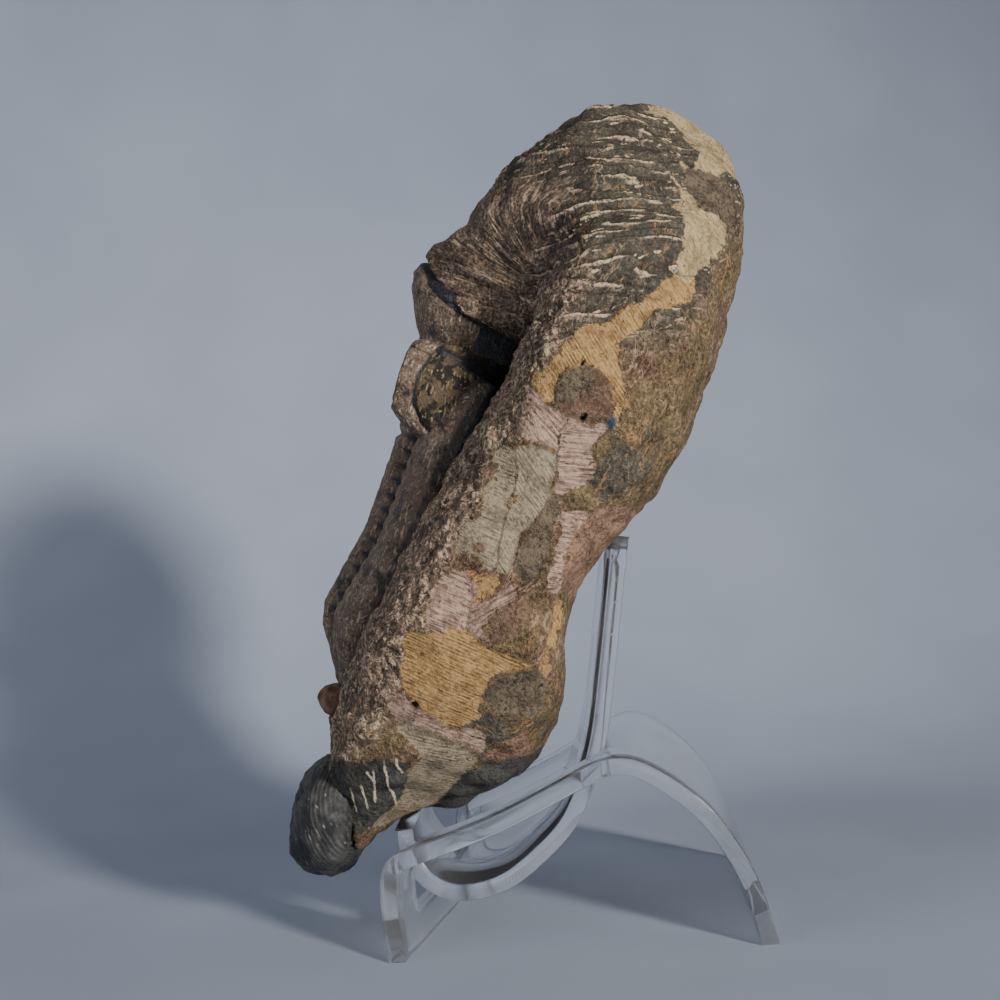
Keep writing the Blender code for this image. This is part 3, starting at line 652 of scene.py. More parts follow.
def patch_distance(kind, seed):
    """The farthest inside any outline of its kind; on the far side, blots of smooth noise instead. Each point
    also takes over the direction of the nearest patch's grooves."""
    found = np.full(along.shape, -6.0)
    for angle, outline in PATCHES[kind]:
        here = inside_by(smooth_line(outline, 3, closed=True), along, front)
        groove_turn[here > nearest_patch] = angle
        np.maximum(nearest_patch, here, out=nearest_patch)
        found = np.maximum(found, here)
    found = np.minimum(found, (2.0 - depth) * 0.6)
    if kind == "khaki":
        found = np.maximum(found, np.minimum(inside_by(TOP_FACET, front, depth), along - 135.0))
    far = (broken(solid_place * (0.8, 1.2, 1.0), 17.0, seed, 2) - FAR_SHARE[kind]) * 9.0
    far = np.minimum(far, (depth - 14.0) * 0.4)
    return np.clip(np.maximum(found, far), -6.0, 6.0)


groove_turn, nearest_patch = np.full(along.shape, 30.0), np.full(along.shape, -6.0)
distances = {kind: patch_distance(kind, 40 + 3 * i) for i, kind in enumerate(PATCHES)}
ground = np.max([distances[kind] for kind in ("ochre", "pink", "olive", "khaki")], axis=0)
print({kind: int((value > 0).sum()) for kind, value in distances.items()})

# %% [markdown]
# The broken stone is rough and pitted, the ground patches lie a little lower and are nearly flat, and the wall
# before the head keeps the furrows of the tool that cut it. All of this relief is raised along the normals.

# %% Relief of the block
WALL_HUB = (109.0, 14.6, -30.0)
rough_place = stand_up(along, front, depth)
flat = smooth_step(-0.5, 0.4, ground)
wall_zone = smooth_step(17.0, 20.0, front) * smooth_step(103.0, 107.0, along) * (1.0 - smooth_step(124, 132, along))
hidden = np.maximum(bed, trench * 0.6)
scribed = smooth_step(5.5, 8.0, front) * smooth_step(122.0, 110.0, along) * (1.0 - wall_zone)
scribed = np.maximum(scribed, smooth_step(27.0, 33.0, along + 0.8 * front) * smooth_step(3.0, 6.0, front)
                     * smooth_step(60.0, 50.0, along)) * (1.0 - flat)
chips = broken(rough_place, 5.2, 7, 4)
ledges = broken(rough_place * (1.0, 1.0, 1.6), 7.5, 13, 2)
ledges = np.abs(ledges) ** 0.6 * np.sign(ledges)
tooled = broken(rough_place, 2.1, 17, 3)
ledge_place = rough_place * (0.28, 0.5, 1.0)
ledge_phase = rough_place[:, 2] / 2.5 + 0.1 * rough_place[:, 0] / 2.5 + 1.1 * lumps(ledge_place, 7.0, 22)
ledge_phase = ledge_phase + 0.55 * lumps(ledge_place, 2.6, 23)
ledge_weight = smooth_step(-0.5, 0.3, lumps(rough_place * (0.3, 0.5, 1.0), 5.0, 25))
ridges = (np.mod(ledge_phase, 1.0) ** 2 - 0.4) * ledge_weight
grit = broken(rough_place, 1.7, 43, 2)
holes = smooth_step(0.42, 0.1, pits(rough_place, 3.1, 27))
relief = 0.62 * chips + 0.34 * ledges + 0.2 * tooled + 0.22 * grit - 0.5 * holes * (tooled > -0.2)
relief = relief + scribed * (0.6 * tooled - 0.25 * smooth_step(0.12, 0.0, np.abs(lumps(rough_place, 2.6, 19))))
relief = relief * (1.0 - 0.86 * flat) * (1.0 - 0.9 * hidden) - 0.3 * flat
hub_along, hub_depth = along - WALL_HUB[0], depth - WALL_HUB[2]
hub_angle, hub_reach = np.arctan2(hub_along, hub_depth), np.hypot(hub_along, hub_depth)
fan_place = np.stack((hub_reach / 9.0, hub_angle * 14.0, 0.0 * along), axis=-1)
furrows = broken(fan_place, 1.0, 33, 2)
relief = relief * (1.0 - 0.5 * wall_zone) + 0.4 * furrows * wall_zone * (hub_reach > 2.0)
crown_zone = smooth_step(100.0, 112.0, along + 0.5 * front) * (1.0 - wall_zone) * smooth_step(-14.0, -8.0, front)
relief = relief + 0.75 * ridges * crown_zone * (1.0 - flat)
seam = np.exp(-((in_body - overlap + 0.3) / 0.6) ** 2) * on_front
DRILLED = ((37.9, 1.3, 0.8), (92.6, -2.4, 0.5), (144.6, 0.4, 0.6), (100.8, 1.8, 0.4))
drilled = np.zeros(along.shape)
for hole_along, hole_front, radius in DRILLED:
    away = np.hypot(along - hole_along, front - hole_front)
    drilled = np.maximum(drilled, smooth_step(radius * 1.3, radius * 0.6, away) * (depth < 0.0))
relief = relief - 0.35 * seam - 1.2 * drilled
print("relief from", relief.min().round(2), "to", relief.max().round(2), "mm")

# %% [markdown]
# ## The finish of the limestone
# The outside is a crust of three browns with a fine mottle, with painted shade in the lows of its ledges and
# furrows. Over it lie the pale cuts of the scribing tool, then the ground patches with their fine parallel grooves,
# and last the dark stains and pits and painted shade in the hollows. Each layer is one mask and one colour mix.

# %% Limestone
LIMESTONE, tree, shader = new_finish("limestone", Roughness=0.86, Specular_IOR_Level=0.3)
where = place_mm(tree)
grain = use(tree, GRAIN, {"Place": where, "Size": 0.4})
coarse = noise(tree, where, 5.0, 5.0, 0.65)
broad = noise(tree, where, 17.0, 3.0, 0.55)
mottle = calc(tree, "MULTIPLY_ADD", calc(tree, "SUBTRACT", grain["Grain"], 0.5), 1.5, coarse)
crown, scribed_zone, wall = told(tree, "crown"), told(tree, "scribed"), told(tree, "wall")


def crust(dark, middle, pale):
    """Three browns by the mottle: dark in its lows, pale in its highs."""
    lower = mix(tree, soft(tree, mottle, 0.22, 0.5), paint(*dark), paint(*middle))
    return mix(tree, soft(tree, mottle, 0.5, 0.84), lower, paint(*pale))


colour = crust((55, 46, 34), (98, 83, 58), (141, 123, 92))
reddish = crust((60, 44, 34), (100, 78, 60), (146, 124, 100))
colour = mix(tree, soft(tree, broad, 0.5, 0.62), colour, reddish)
greyish = crust((48, 45, 39), (74, 69, 59), (112, 105, 89))
colour = mix(tree, calc(tree, "MAXIMUM", crown, soft(tree, broad, 0.42, 0.34)), colour, greyish)
tooled = crust((50, 42, 35), (101, 84, 71), (162, 141, 121))
colour = mix(tree, calc(tree, "MAXIMUM", scribed_zone, wall), colour, tooled)
ochre_fleck = soft(tree, noise(tree, where, 2.6, 3.0, 0.6, 0.5), 0.66, 0.72)
colour = mix(tree, calc(tree, "MULTIPLY", ochre_fleck, 0.6), colour, paint(176, 138, 84))
veins = use(tree, SQUIGGLES, {"Place": turned(tree, where, (0, -30, 0), (1.0, 1.0, 0.4)), "Size": 3.4, "Slim": 0.03})
vein_tone = mix(tree, soft(tree, broad, 0.42, 0.56), paint(190, 136, 84), paint(190, 164, 140))
colour = mix(tree, calc(tree, "MULTIPLY", veins["Mask"], 0.5), colour, vein_tone)
colour = mix(tree, calc(tree, "MULTIPLY", grain["Fleck"], 0.5), colour, paint(38, 33, 28))

# cuts: long level ones on the crown, curled ones beside the fossil, a fan on the wall, upright ones at the foot
crown_place = turned(tree, where, (0, 10, 0))
long_cuts = use(tree, STROKES, {"Place": crown_place, "Length": 5.0, "Width": 0.5, "Wander": 3.0, "Share": 0.5})
wobble = noise(tree, turned(tree, where, (0, 8, 0), (0.3, 0.6, 1.0)), 1.6, 3.0)
ledge = calc(tree, "FRACT", calc(tree, "MULTIPLY_ADD", wobble, 0.5, told(tree, "ledge")))
ledge_gate = soft(tree, noise(tree, turned(tree, where, (0, 8, 0), (0.24, 0.5, 0.8)), 2.0, 2.0), 0.5, 0.57)
ledge_line = calc(tree, "MULTIPLY", soft(tree, ledge, 0.74, 0.9), ledge_gate)
long_cuts = calc(tree, "MULTIPLY", calc(tree, "MAXIMUM", long_cuts["Mask"], ledge_line), crown)
curls = use(tree, SQUIGGLES, {"Place": where, "Size": 2.2, "Slim": 0.07})
curl_cuts = calc(tree, "MULTIPLY", curls["Mask"], scribed_zone)
side_place = turned(tree, where, (0, -58, 0))
short_cuts = use(tree, STROKES, {"Place": side_place, "Length": 1.7, "Width": 0.5, "Wander": 4.0, "Share": 0.75})
short_cuts = calc(tree, "MULTIPLY", short_cuts["Mask"], scribed_zone)
fan_reach = add(tree, "CombineXYZ", {0: told(tree, "fan_reach"), 1: told(tree, "fan_turn")})
fan_ridges = use(tree, SQUIGGLES, {"Place": turned(tree, fan_reach, (0, 0, 0), (0.2, 1.0, 1.0)), "Size": 1.4,
                                   "Slim": 0.045})
fan_cuts = use(tree, STROKES, {"Place": fan_reach, "Length": 3.4, "Width": 0.36, "Wander": 0.8, "Share": 0.8})
fan_cuts = calc(tree, "MAXIMUM", fan_cuts["Mask"], fan_ridges["Mask"])
fan_cuts = calc(tree, "MULTIPLY", calc(tree, "MULTIPLY", fan_cuts, wall), 0.7)
cuts = calc(tree, "MAXIMUM", calc(tree, "MAXIMUM", long_cuts, curl_cuts), calc(tree, "MAXIMUM", fan_cuts, short_cuts))
worn = soft(tree, grain["Grain"], 0.3, 0.56)
cuts = calc(tree, "MULTIPLY", cuts, worn)
cut_tone = mix(tree, soft(tree, broad, 0.45, 0.58), paint(206, 190, 156), paint(206, 176, 152))
# painted shade: the lows of the crown's ledges and of the wall's furrows are darkened in colour
shade_in_lows = calc(tree, "MULTIPLY", soft(tree, ledge, 0.3, 0.0), crown)
shade_in_fan_lows = calc(tree, "MULTIPLY", soft(tree, fan_ridges["Shade"], 0.46, 0.3), wall)
shade_in_lows = calc(tree, "MULTIPLY", calc(tree, "MAXIMUM", shade_in_lows, shade_in_fan_lows), 0.7)
colour = mix(tree, shade_in_lows, colour, paint(44, 38, 30))
colour = mix(tree, calc(tree, "MULTIPLY", cuts, 0.9), colour, cut_tone)

# patches: each has two tones, told apart by the grooves and a little mottle
PATCH_TONES = {
    "ochre": (paint(100, 75, 44), paint(176, 143, 94), 0.5),
    "pink": (paint(86, 64, 53), paint(179, 152, 134), 0.6),
    "olive": (paint(86, 77, 62), paint(156, 142, 119), 0.45),
    "khaki": (paint(116, 100, 70), paint(180, 160, 120), 0.25),
    "red": (paint(74, 54, 42), paint(142, 114, 92), 0.1),
    "purple": (paint(74, 56, 44), paint(120, 98, 80), 0.05),
    "dark": (paint(52, 45, 36), paint(108, 95, 78), 0.1),
    "slate": (paint(34, 34, 33), paint(80, 79, 73), 0.1),
}
stain = soft(tree, noise(tree, where, 3.0, 4.0, 0.7), 0.5, 0.4, 0.0, 0.5)
level = add(tree, "VectorRotate", {"Vector": where, "Angle": told(tree, "groove_turn")}, rotation_type="Y_AXIS")
fine_groove = use(tree, GROOVES, {"Place": level, "Spacing": 0.55})["Height"]
wide_groove = use(tree, GROOVES, {"Place": level, "Spacing": 0.85})["Height"]
height = calc(tree, "MULTIPLY", mottle, 1.2)
height = calc(tree, "MULTIPLY_ADD", curls["Shade"], calc(tree, "MULTIPLY", scribed_zone, 1.6), height)
height = calc(tree, "MULTIPLY_ADD", calc(tree, "MULTIPLY", ledge, ledge), calc(tree, "MULTIPLY", crown, 1.2), height)
height = calc(tree, "MULTIPLY_ADD", fan_ridges["Shade"], calc(tree, "MULTIPLY", wall, 2.0), height)
for kind, (deep, pale, grooved) in PATCH_TONES.items():
    groove = wide_groove if kind == "pink" else fine_groove
    mask = use(tree, EDGE, {"Distance": told(tree, kind), "Place": where, "Ragged": 4.6})["Mask"]
    tone = calc(tree, "ADD", calc(tree, "MULTIPLY", groove, grooved), calc(tree, "MULTIPLY", mottle, 1.0 - grooved))
    tone = mix(tree, soft(tree, tone, 0.2, 0.68), deep, pale)
    tone = mix(tree, stain, tone, deep)
    colour = mix(tree, mask, colour, tone)
    flat_height = calc(tree, "MULTIPLY_ADD", groove, 1.4 * grooved, calc(tree, "MULTIPLY", mottle, 1.0 - grooved))
    height = add(tree, "Mix", {0: mask, 2: height, 3: flat_height})

# long single scratches at the foot: a stroke is within its half length along and its half width across
scratched = 0.0
drift = calc(tree, "SUBTRACT", noise(tree, where, 3.0, 2.0), 0.5)
for start, stop in SCRATCHES:
    first, last = stand_up(*start, -15.0), stand_up(*stop, -15.0)
    way = (last - first) * (1.0, 0.0, 1.0)
    half = float(np.linalg.norm(way) / 2.0)
    way = way / np.linalg.norm(way)
    from_middle = add(tree, "VectorMath", {0: where, 1: ((first + last) / 2.0).tolist()}, operation="SUBTRACT")
    u = add(tree, "VectorMath", {0: from_middle, 1: way.tolist()}, out=1, operation="DOT_PRODUCT")
    v = add(tree, "VectorMath", {0: from_middle, 1: (way[2], 0.0, -way[0])}, out=1, operation="DOT_PRODUCT")
    v = calc(tree, "ABSOLUTE", calc(tree, "MULTIPLY_ADD", drift, 1.0, v))
    u = soft(tree, calc(tree, "ABSOLUTE", u), half, half * 0.6)
    scratched = calc(tree, "MAXIMUM", scratched, calc(tree, "MULTIPLY", u, soft(tree, v, 0.28, 0.1)))
near_side = soft(tree, add(tree, "SeparateXYZ", {0: where}, out=1), -2.0, -6.0)
scratched = calc(tree, "MULTIPLY", calc(tree, "MULTIPLY", scratched, near_side), soft(tree, grain["Grain"], 0.3, 0.5))
colour = mix(tree, scratched, colour, paint(206, 194, 168))

# dark pits, and painted shade in the bed, the trench, along the seam and in the drilled holes
pit = soft(tree, noise(tree, where, 1.4, 2.0, 0.6), 0.67, 0.74)
colour = mix(tree, calc(tree, "MULTIPLY", pit, 0.6), colour, paint(36, 30, 26))
colour = mix(tree, told(tree, "painted_hollow_shade"), colour, paint(30, 27, 25))
colour = mix(tree, told(tree, "blue"), colour, paint(44, 66, 88))
tree.links.new(colour, shader.inputs["Base Color"])
tree.links.new(soft(tree, grain["Grain"], 0.2, 0.8, 0.72, 0.95), shader.inputs["Roughness"])
height = calc(tree, "MULTIPLY_ADD", pit, -0.8, height)
bump = add(tree, "Bump", {"Strength": 0.9, "Distance": 0.0005, "Height": height})
tree.links.new(bump, shader.inputs["Normal"])
print("limestone:", len(tree.nodes), "nodes")

# %% Make the block
index = np.arange(len(along) - 2).reshape(-1, COLUMNS)
faces = [grid_faces(index, wrap=True), fan(index[0][::-1], len(along) - 2), fan(index[-1], len(along) - 1)]
block = make_piece("limestone_block", stand_up(along, front, depth), faces, LIMESTONE)
raise_surface(block, relief)
for kind, values in distances.items():
    tell(block, kind, values)
tell(block, "crown", crown_zone)
tell(block, "ledge", ledge_phase)
tell(block, "scribed", scribed)
tell(block, "groove_turn", np.radians(-groove_turn))
tell(block, "blue", smooth_step(1.0, 0.4, np.hypot((along - 94.0) * 0.7, front + 6.9)) * (depth < 0.0))
tell(block, "wall", wall_zone)
tell(block, "fan_reach", hub_reach)
tell(block, "fan_turn", hub_angle * 14.0)
# painted shade: the bed, the trench, the seam and the drilled holes are darkened in colour
tell(block, "painted_hollow_shade", np.clip(0.85 * np.maximum(trench, bed) + 0.6 * seam + drilled, 0.0, 0.94))
fit(block, "matrix_rock")

# %% [markdown]
# ## The trilobite
# The animal's back has three lobes: a raised axis, ringed like a lobster's tail, and a sloping side to its left
# and right. The head carries a swollen front lobe and two tall eyes. The whole back is one height function of
# the place along the body and across it.

# %% Numbers of the trilobite
TAIL_TIP, TAIL_END, NECK, HEAD_FRONT, SEGMENTS = 28.0, 43.0, 76.0, 112.0, 11
CREST_ALONG = (28.0, 29.5, 31.0, 35.0, 39.0, 43.0, 51.0, 59.0, 69.0, 75.0, 78.0, 84.0, 90.0, 97.0, 100.0, 104.6,
               108.0, 110.0, 111.2, 112.0)
CREST = (15.6, 16.8, 18.4, 21.6, 25.2, 26.8, 26.5, 26.2, 27.4, 28.2, 28.8, 29.8, 30.8, 33.4, 35.8, 38.9, 40.1,
         39.5, 37.0, 34.4)
AXIS_ALONG = (28.0, 34.0, 43.0, 60.0, 76.0, 82.0, 92.0, 100.0, 106.0, 110.0, 112.0)
AXIS_HALF_WIDTH = (1.6, 4.0, 6.6, 7.8, 8.4, 8.6, 10.6, 13.2, 13.6, 8.4, 2.6)
AXIS_RISE_ALONG = (28.0, 36.0, 60.0, 76.0, 84.0, 98.0, 108.0, 112.0)
AXIS_RISE = (0.8, 3.0, 4.2, 4.6, 6.5, 12.0, 17.0, 10.0)
MARGIN, SEGMENT_GROOVE = 15.2, (0.1, 0.34)
EYE_ALONG, EYE_DEPTH, EYE_HALF_LENGTH, EYE_HALF_WIDTH, EYE_TOP = 87.8, 16.8, 9.4, 5.4, 31.2
LID_ALONG = (78.0, 80.2, 81.2, 83.8, 88.5, 92.8, 96.0, 98.7)
LID_EDGE = (19.0, 21.0, 23.4, 26.4, 27.6, 27.2, 26.4, 25.0)

# %% Height of the back


def eye_shape(along, depth):
    """A kidney-shaped turret: its flat top ends at 0.62 of the way out, then it falls as a quarter ellipse."""
    length = (along - EYE_ALONG) / EYE_HALF_LENGTH
    outward = (np.abs(depth) + 2.2 * length ** 2 - EYE_DEPTH) / EYE_HALF_WIDTH
    out = (length ** 4 + outward ** 4) ** 0.25
    top = EYE_TOP - 1.2 * length ** 2 + 1.4 * length
    fall = np.clip((out - 0.62) / 0.43, 0.0, 1.0)
    height = MARGIN - 3.0 + (top - MARGIN + 3.0) * np.sqrt(1.0 - fall ** 2.4)
    return np.where(out < 1.05, height, 0.0), out, length, outward


def back_height(along, depth):
    """axis: shoulder + rise * sqrt(1 - (depth/axis)^2); sides: margin + drop * sqrt(1 - out^2.2); less the
    furrow beside the axis and the grooves between the segments; the eyes stand out of it."""
    width = np.interp(along, WIDTH_ALONG, HALF_WIDTH)
    axis = np.interp(along, AXIS_ALONG, AXIS_HALF_WIDTH)
    crest = np.interp(along, CREST_ALONG, CREST)
    shoulder = np.maximum(crest - np.interp(along, AXIS_RISE_ALONG, AXIS_RISE), MARGIN)
    beside = np.abs(depth)
    out = np.clip((beside - axis) / np.maximum(width - axis, 0.1), 0.0, 1.0)
    side = MARGIN + (shoulder - MARGIN) * np.sqrt(1.0 - out ** 2.2)
    dome = shoulder + (crest - shoulder) * np.sqrt(np.clip(1.0 - (depth / axis) ** 2, 0.0, 1.0))
    height = np.where(beside < axis, dome, side)
    furrow = np.exp(-((beside - axis) / 1.1) ** 2) * (out < 0.5)
    turn = (along - TAIL_END) / (NECK - TAIL_END) * SEGMENTS
    body = np.abs(np.sin(math.pi * (turn + 0.25 * out)))
    on_body = smooth_step(TAIL_END - 0.5, TAIL_END, along) * (1.0 - smooth_step(NECK, NECK + 0.5, along))
    groove = (1.0 - body ** 0.6) * on_body
    ribs = np.abs(np.sin(math.pi * (along - TAIL_TIP) / 2.6 + out)) ** 0.7
    on_tail = smooth_step(31.0, 34.0, along) * (1.0 - smooth_step(TAIL_END - 1.0, TAIL_END, along))
    groove = groove + 0.35 * (1.0 - ribs) * on_tail
    neck = np.exp(-((along - NECK - 2.6) / 0.8) ** 2) * (beside < axis + 1.0)
    sunk = SEGMENT_GROOVE[0] + (SEGMENT_GROOVE[1] - SEGMENT_GROOVE[0]) * smooth_step(1.0, 5.0, beside)
    height = height - 0.9 * furrow - sunk * groove * (1.0 - out ** 6) - 0.8 * neck
    eye, eye_out, eye_length, eye_outward = eye_shape(along, depth)
    on_eye = (eye > height).astype(float)
    return np.maximum(height, eye), out, furrow, groove, neck, on_eye, eye_out, eye_length, eye_outward


# %% [markdown]
# The sides of the eyes are nearly upright, so points that are even across the body would leave them bare. Each
# row of the grid is spaced by the length of its own height curve instead.

# %% Grid of the back
ROWS, BODY_ROWS, ACROSS, FINE = 330, 190, 230, 1601
along_rows = np.concatenate((np.linspace(TAIL_TIP, NECK, BODY_ROWS, endpoint=False),
                             np.linspace(NECK, HEAD_FRONT, ROWS - BODY_ROWS)))
fine_share = np.sin(np.linspace(-0.5, 0.5, FINE) * math.pi * 0.86) / math.sin(0.43 * math.pi)
fine_depth = np.interp(along_rows, WIDTH_ALONG, HALF_WIDTH)[:, None] * fine_share[None, :]
fine_height = back_height(np.repeat(along_rows[:, None], FINE, axis=1), fine_depth)[0]
steps = np.hypot(np.diff(fine_depth, axis=1), 0.8 * np.diff(fine_height, axis=1))
lengths = np.concatenate((np.zeros((ROWS, 1)), np.cumsum(steps, axis=1)), axis=1)
target = np.linspace(0.0, 1.0, ACROSS)
across = np.stack([np.interp(target * length[-1], length, row) for length, row in zip(lengths, fine_depth)])
body_along = np.repeat(along_rows[:, None], ACROSS, axis=1)
height, out, furrow, groove, neck, on_eye, eye_out, eye_length, eye_outward = back_height(body_along, across)
print("rows and columns:", height.shape)

# %% [markdown]
# A lid lies over each eye like a brow, and a thin furrow parts it from the seeing side below. That side is set
# with lenses in staggered rows: cos(2 pi u) cos(pi v) has its peaks in just that pattern. They are worn low here.

# %% Lenses and skin
around_eye = np.arctan2(eye_outward, eye_length) * 8.2
lens_pattern = np.cos(2.0 * math.pi * around_eye / 1.7) * np.cos(math.pi * height / 0.8)
lid_edge = np.interp(body_along, LID_ALONG, LID_EDGE)
outer_side = on_eye * smooth_step(0.0, 0.3, eye_outward + 0.15)
eye_side = outer_side * smooth_step(0.3, -0.3, height - lid_edge) * smooth_step(MARGIN, MARGIN + 1.2, height)
lid_furrow = outer_side * np.exp(-((height - lid_edge) / 0.42) ** 2)
eye_foot = outer_side * np.exp(-((height - MARGIN - 1.4) / 0.9) ** 2)
skin_place = stand_up(body_along, height, across)
skin = 0.2 * broken(skin_place, 2.4, 61, 3) + 0.07 * broken(skin_place, 0.9, 67, 2)
rim_distance = inside_by(BODY_OUTLINE, body_along, across)
glabella = smooth_step(96.0, 100.0, body_along) * (out < 0.05)
granules = smooth_step(0.5, 0.15, pits(skin_place, 1.7, 71))
lid_ridges = outer_side * (1.0 - eye_side) * np.cos(2.0 * math.pi * (height - lid_edge) / 1.5)
skin = skin + 0.1 * granules * glabella + 0.09 * np.maximum(lens_pattern, -0.3) * eye_side
skin = skin + 0.35 * eye_side * np.sin(np.clip((lid_edge - height) / (lid_edge - MARGIN), 0.0, 1.0) * math.pi)
skin = skin - 0.55 * lid_furrow + 0.08 * lid_ridges
# Painted shade: the furrows, the grooves between the segments, the neck, the lid furrow and lid rim, the foot of each
# eye, a thin line along the rim, the cheeks beside the eyes, the recess before the head and the contact under the
# wall are darkened in colour.
tail_edge = smooth_step(1.2, 0.0, along_rows[:, None] - TAIL_TIP)
painted_rim_shade = np.maximum(smooth_step(0.965, 0.99, out), tail_edge)
recess = smooth_step(93.0, 97.0, body_along) * smooth_step(0.25, 0.5, out) * (1.0 - on_eye)
under_wall = 2.0 * smooth_step(101.0, 106.0, body_along)
contact = smooth_step(1.1, 0.4, rim_distance - under_wall) * smooth_step(99.0, 102.0, body_along)
beside_eye = 0.1 * smooth_step(0.35, 0.6, out) * smooth_step(70.0, 76.0, body_along) * (1.0 - on_eye)
on_trunk = 1.0 - smooth_step(86.0, 92.0, body_along)
shade = 0.55 * furrow * on_trunk + 0.55 * groove * (1.0 - 0.6 * out) + 0.5 * neck + lid_furrow + 0.8 * eye_foot
lid_rim = on_eye * (1.0 - eye_side) * np.exp(-((eye_out - 0.66) / 0.06) ** 2)
shade = shade + 0.8 * lid_rim
shade = np.maximum(np.clip(shade + 0.5 * painted_rim_shade + beside_eye, 0.0, 1.0), np.maximum(recess, contact))

# %% Finish of the trilobite
SHELL_BROWN, tree, shader = new_finish("trilobite_shell", Roughness=0.72, Specular_IOR_Level=0.35)
where = place_mm(tree)
grain = use(tree, GRAIN, {"Place": where, "Size": 0.32})
patchy = noise(tree, where, 3.6, 5.0, 0.65)
mottle = calc(tree, "MULTIPLY_ADD", calc(tree, "SUBTRACT", grain["Grain"], 0.5), 1.3, patchy)
colour = mix(tree, soft(tree, mottle, 0.2, 0.5), paint(56, 48, 42), paint(112, 95, 80))
colour = mix(tree, soft(tree, mottle, 0.5, 0.85), colour, paint(162, 142, 120))
brushed = use(tree, STROKES, {"Place": turned(tree, where, (0, 74, 0)), "Length": 1.7, "Width": 0.34,
                              "Wander": 3.0, "Share": 0.95})["Mask"]
hatched = use(tree, STROKES, {"Place": turned(tree, where, (0, 20, 30)), "Length": 1.3, "Width": 0.34,
                              "Wander": 4.0, "Share": 0.5})["Mask"]
brushed = calc(tree, "MULTIPLY", calc(tree, "MAXIMUM", brushed, hatched), soft(tree, grain["Grain"], 0.3, 0.6))
colour = mix(tree, calc(tree, "MULTIPLY", brushed, 0.7), colour, paint(192, 174, 148))
blotch = soft(tree, noise(tree, where, 2.6, 3.0, 0.6), 0.44, 0.54)
eye_tone = mix(tree, blotch, paint(128, 108, 80), paint(38, 33, 29))
eye_tone = mix(tree, calc(tree, "MULTIPLY", brushed, 0.85), eye_tone, paint(206, 186, 144))
eye_tone = mix(tree, calc(tree, "MULTIPLY", soft(tree, told(tree, "lens"), 0.1, 0.5), 0.35), eye_tone,
               paint(60, 46, 34))
eye_dark = soft(tree, told(tree, "eye_low"), 0.5, 1.0, 0.0, 0.5)
eye_tone = mix(tree, eye_dark, eye_tone, paint(34, 29, 25))
colour = mix(tree, told(tree, "eye_side"), colour, eye_tone)
# The dark blue-grey tone is laid by the painted shade that the mesh tells as furrow, together with the mottle, and by
# a scatter of dark spots.
painted_shade_and_mottle = calc(tree, "MULTIPLY_ADD", calc(tree, "SUBTRACT", mottle, 0.5), 0.8, told(tree, "furrow"))
blue = soft(tree, painted_shade_and_mottle, 0.3, 0.8)
spots = soft(tree, noise(tree, where, 4.2, 2.0, 0.5), 0.6, 0.68)
blue = calc(tree, "MAXIMUM", blue, calc(tree, "MULTIPLY", spots, 0.75))
blue_tone = mix(tree, soft(tree, mottle, 0.4, 0.9), paint(20, 21, 24), paint(68, 72, 78))
colour = mix(tree, blue, colour, blue_tone)
tree.links.new(colour, shader.inputs["Base Color"])
tree.links.new(soft(tree, blue, 0.0, 1.0, 0.72, 0.45), shader.inputs["Roughness"])
bump_height = calc(tree, "MULTIPLY_ADD", brushed, -0.6, calc(tree, "MULTIPLY", mottle, 1.3))
bump = add(tree, "Bump", {"Strength": 0.8, "Distance": 0.0004, "Height": bump_height})
tree.links.new(bump, shader.inputs["Normal"])

# %% [markdown]
# A grid alone is a thin sheet. The rim is carried down to the bed as a skirt and closed with a flat underside,
# so the fossil is a solid body like the real one.

# %% Make the trilobite
index = np.arange(ROWS * ACROSS).reshape(ROWS, ACROSS)
rim = np.concatenate((index[0, :-1], index[:-1, -1], index[-1, :0:-1], index[:0:-1, 0]))
low_rim = ROWS * ACROSS + np.arange(len(rim))
left = low_rim[(len(rim) - np.arange(ROWS)) % len(rim)]
right = low_rim[ACROSS - 1 + np.arange(ROWS)]
top = stand_up(body_along, height, across).reshape(-1, 3)
low = stand_up(body_along.ravel()[rim], np.full(len(rim), BED + 0.3), across.ravel()[rim])
skirt = np.stack((np.roll(rim, -1), rim, low_rim, np.roll(low_rim, -1)), axis=1)
under = np.stack((right[2:-1], right[1:-2], left[1:-2], left[2:-1]), axis=1)
tail_end = np.stack((low_rim[1:ACROSS + 1], low_rim[:ACROSS], np.full(ACROSS, left[1])), axis=1)
head = np.arange(ACROSS + ROWS - 3, 2 * ACROSS + ROWS - 3)
head_end = np.stack((low_rim[head + 1], low_rim[head], np.full(len(head), left[-2])), axis=1)
trilobite = make_piece("trilobite_back", np.concatenate((top, low)),
                       [grid_faces(index), skirt, under, tail_end, head_end], SHELL_BROWN)
below = np.zeros(len(rim))
raise_surface(trilobite, np.append(skin, below))
# the painted shade goes to the finish under the name furrow; the skirt and the underside are fully shaded
tell(trilobite, "furrow", np.append(shade, below + 1.0))
tell(trilobite, "eye_side", np.append(eye_side, below))
tell(trilobite, "lens", np.append(lens_pattern * 0.5, below))
tell(trilobite, "eye_low", np.append(np.clip(eye_out, 0.0, 1.5), below))
fit(trilobite, "trilobite")

# %% [markdown]
# ## The shell fragment
# The scrap of shell at the foot is dark and close-grained, and thin growth lines run round it in step with its
# outline. It is an ellipsoid with blunt corners. The lines are a wave of the distance from the hinge, the place
# that the shell grew from.

# %% Make the shell fragment
SHELL_ROWS, SHELL_COLUMNS = 150, 300
SHELL_HUB, SHELL_LINE_GAP = (20.0, -3.0), 0.75
latitude = np.linspace(-math.pi / 2, math.pi / 2, SHELL_ROWS)[:, None]
longitude = np.linspace(0.0, 2.0 * math.pi, SHELL_COLUMNS, endpoint=False)[None, :]


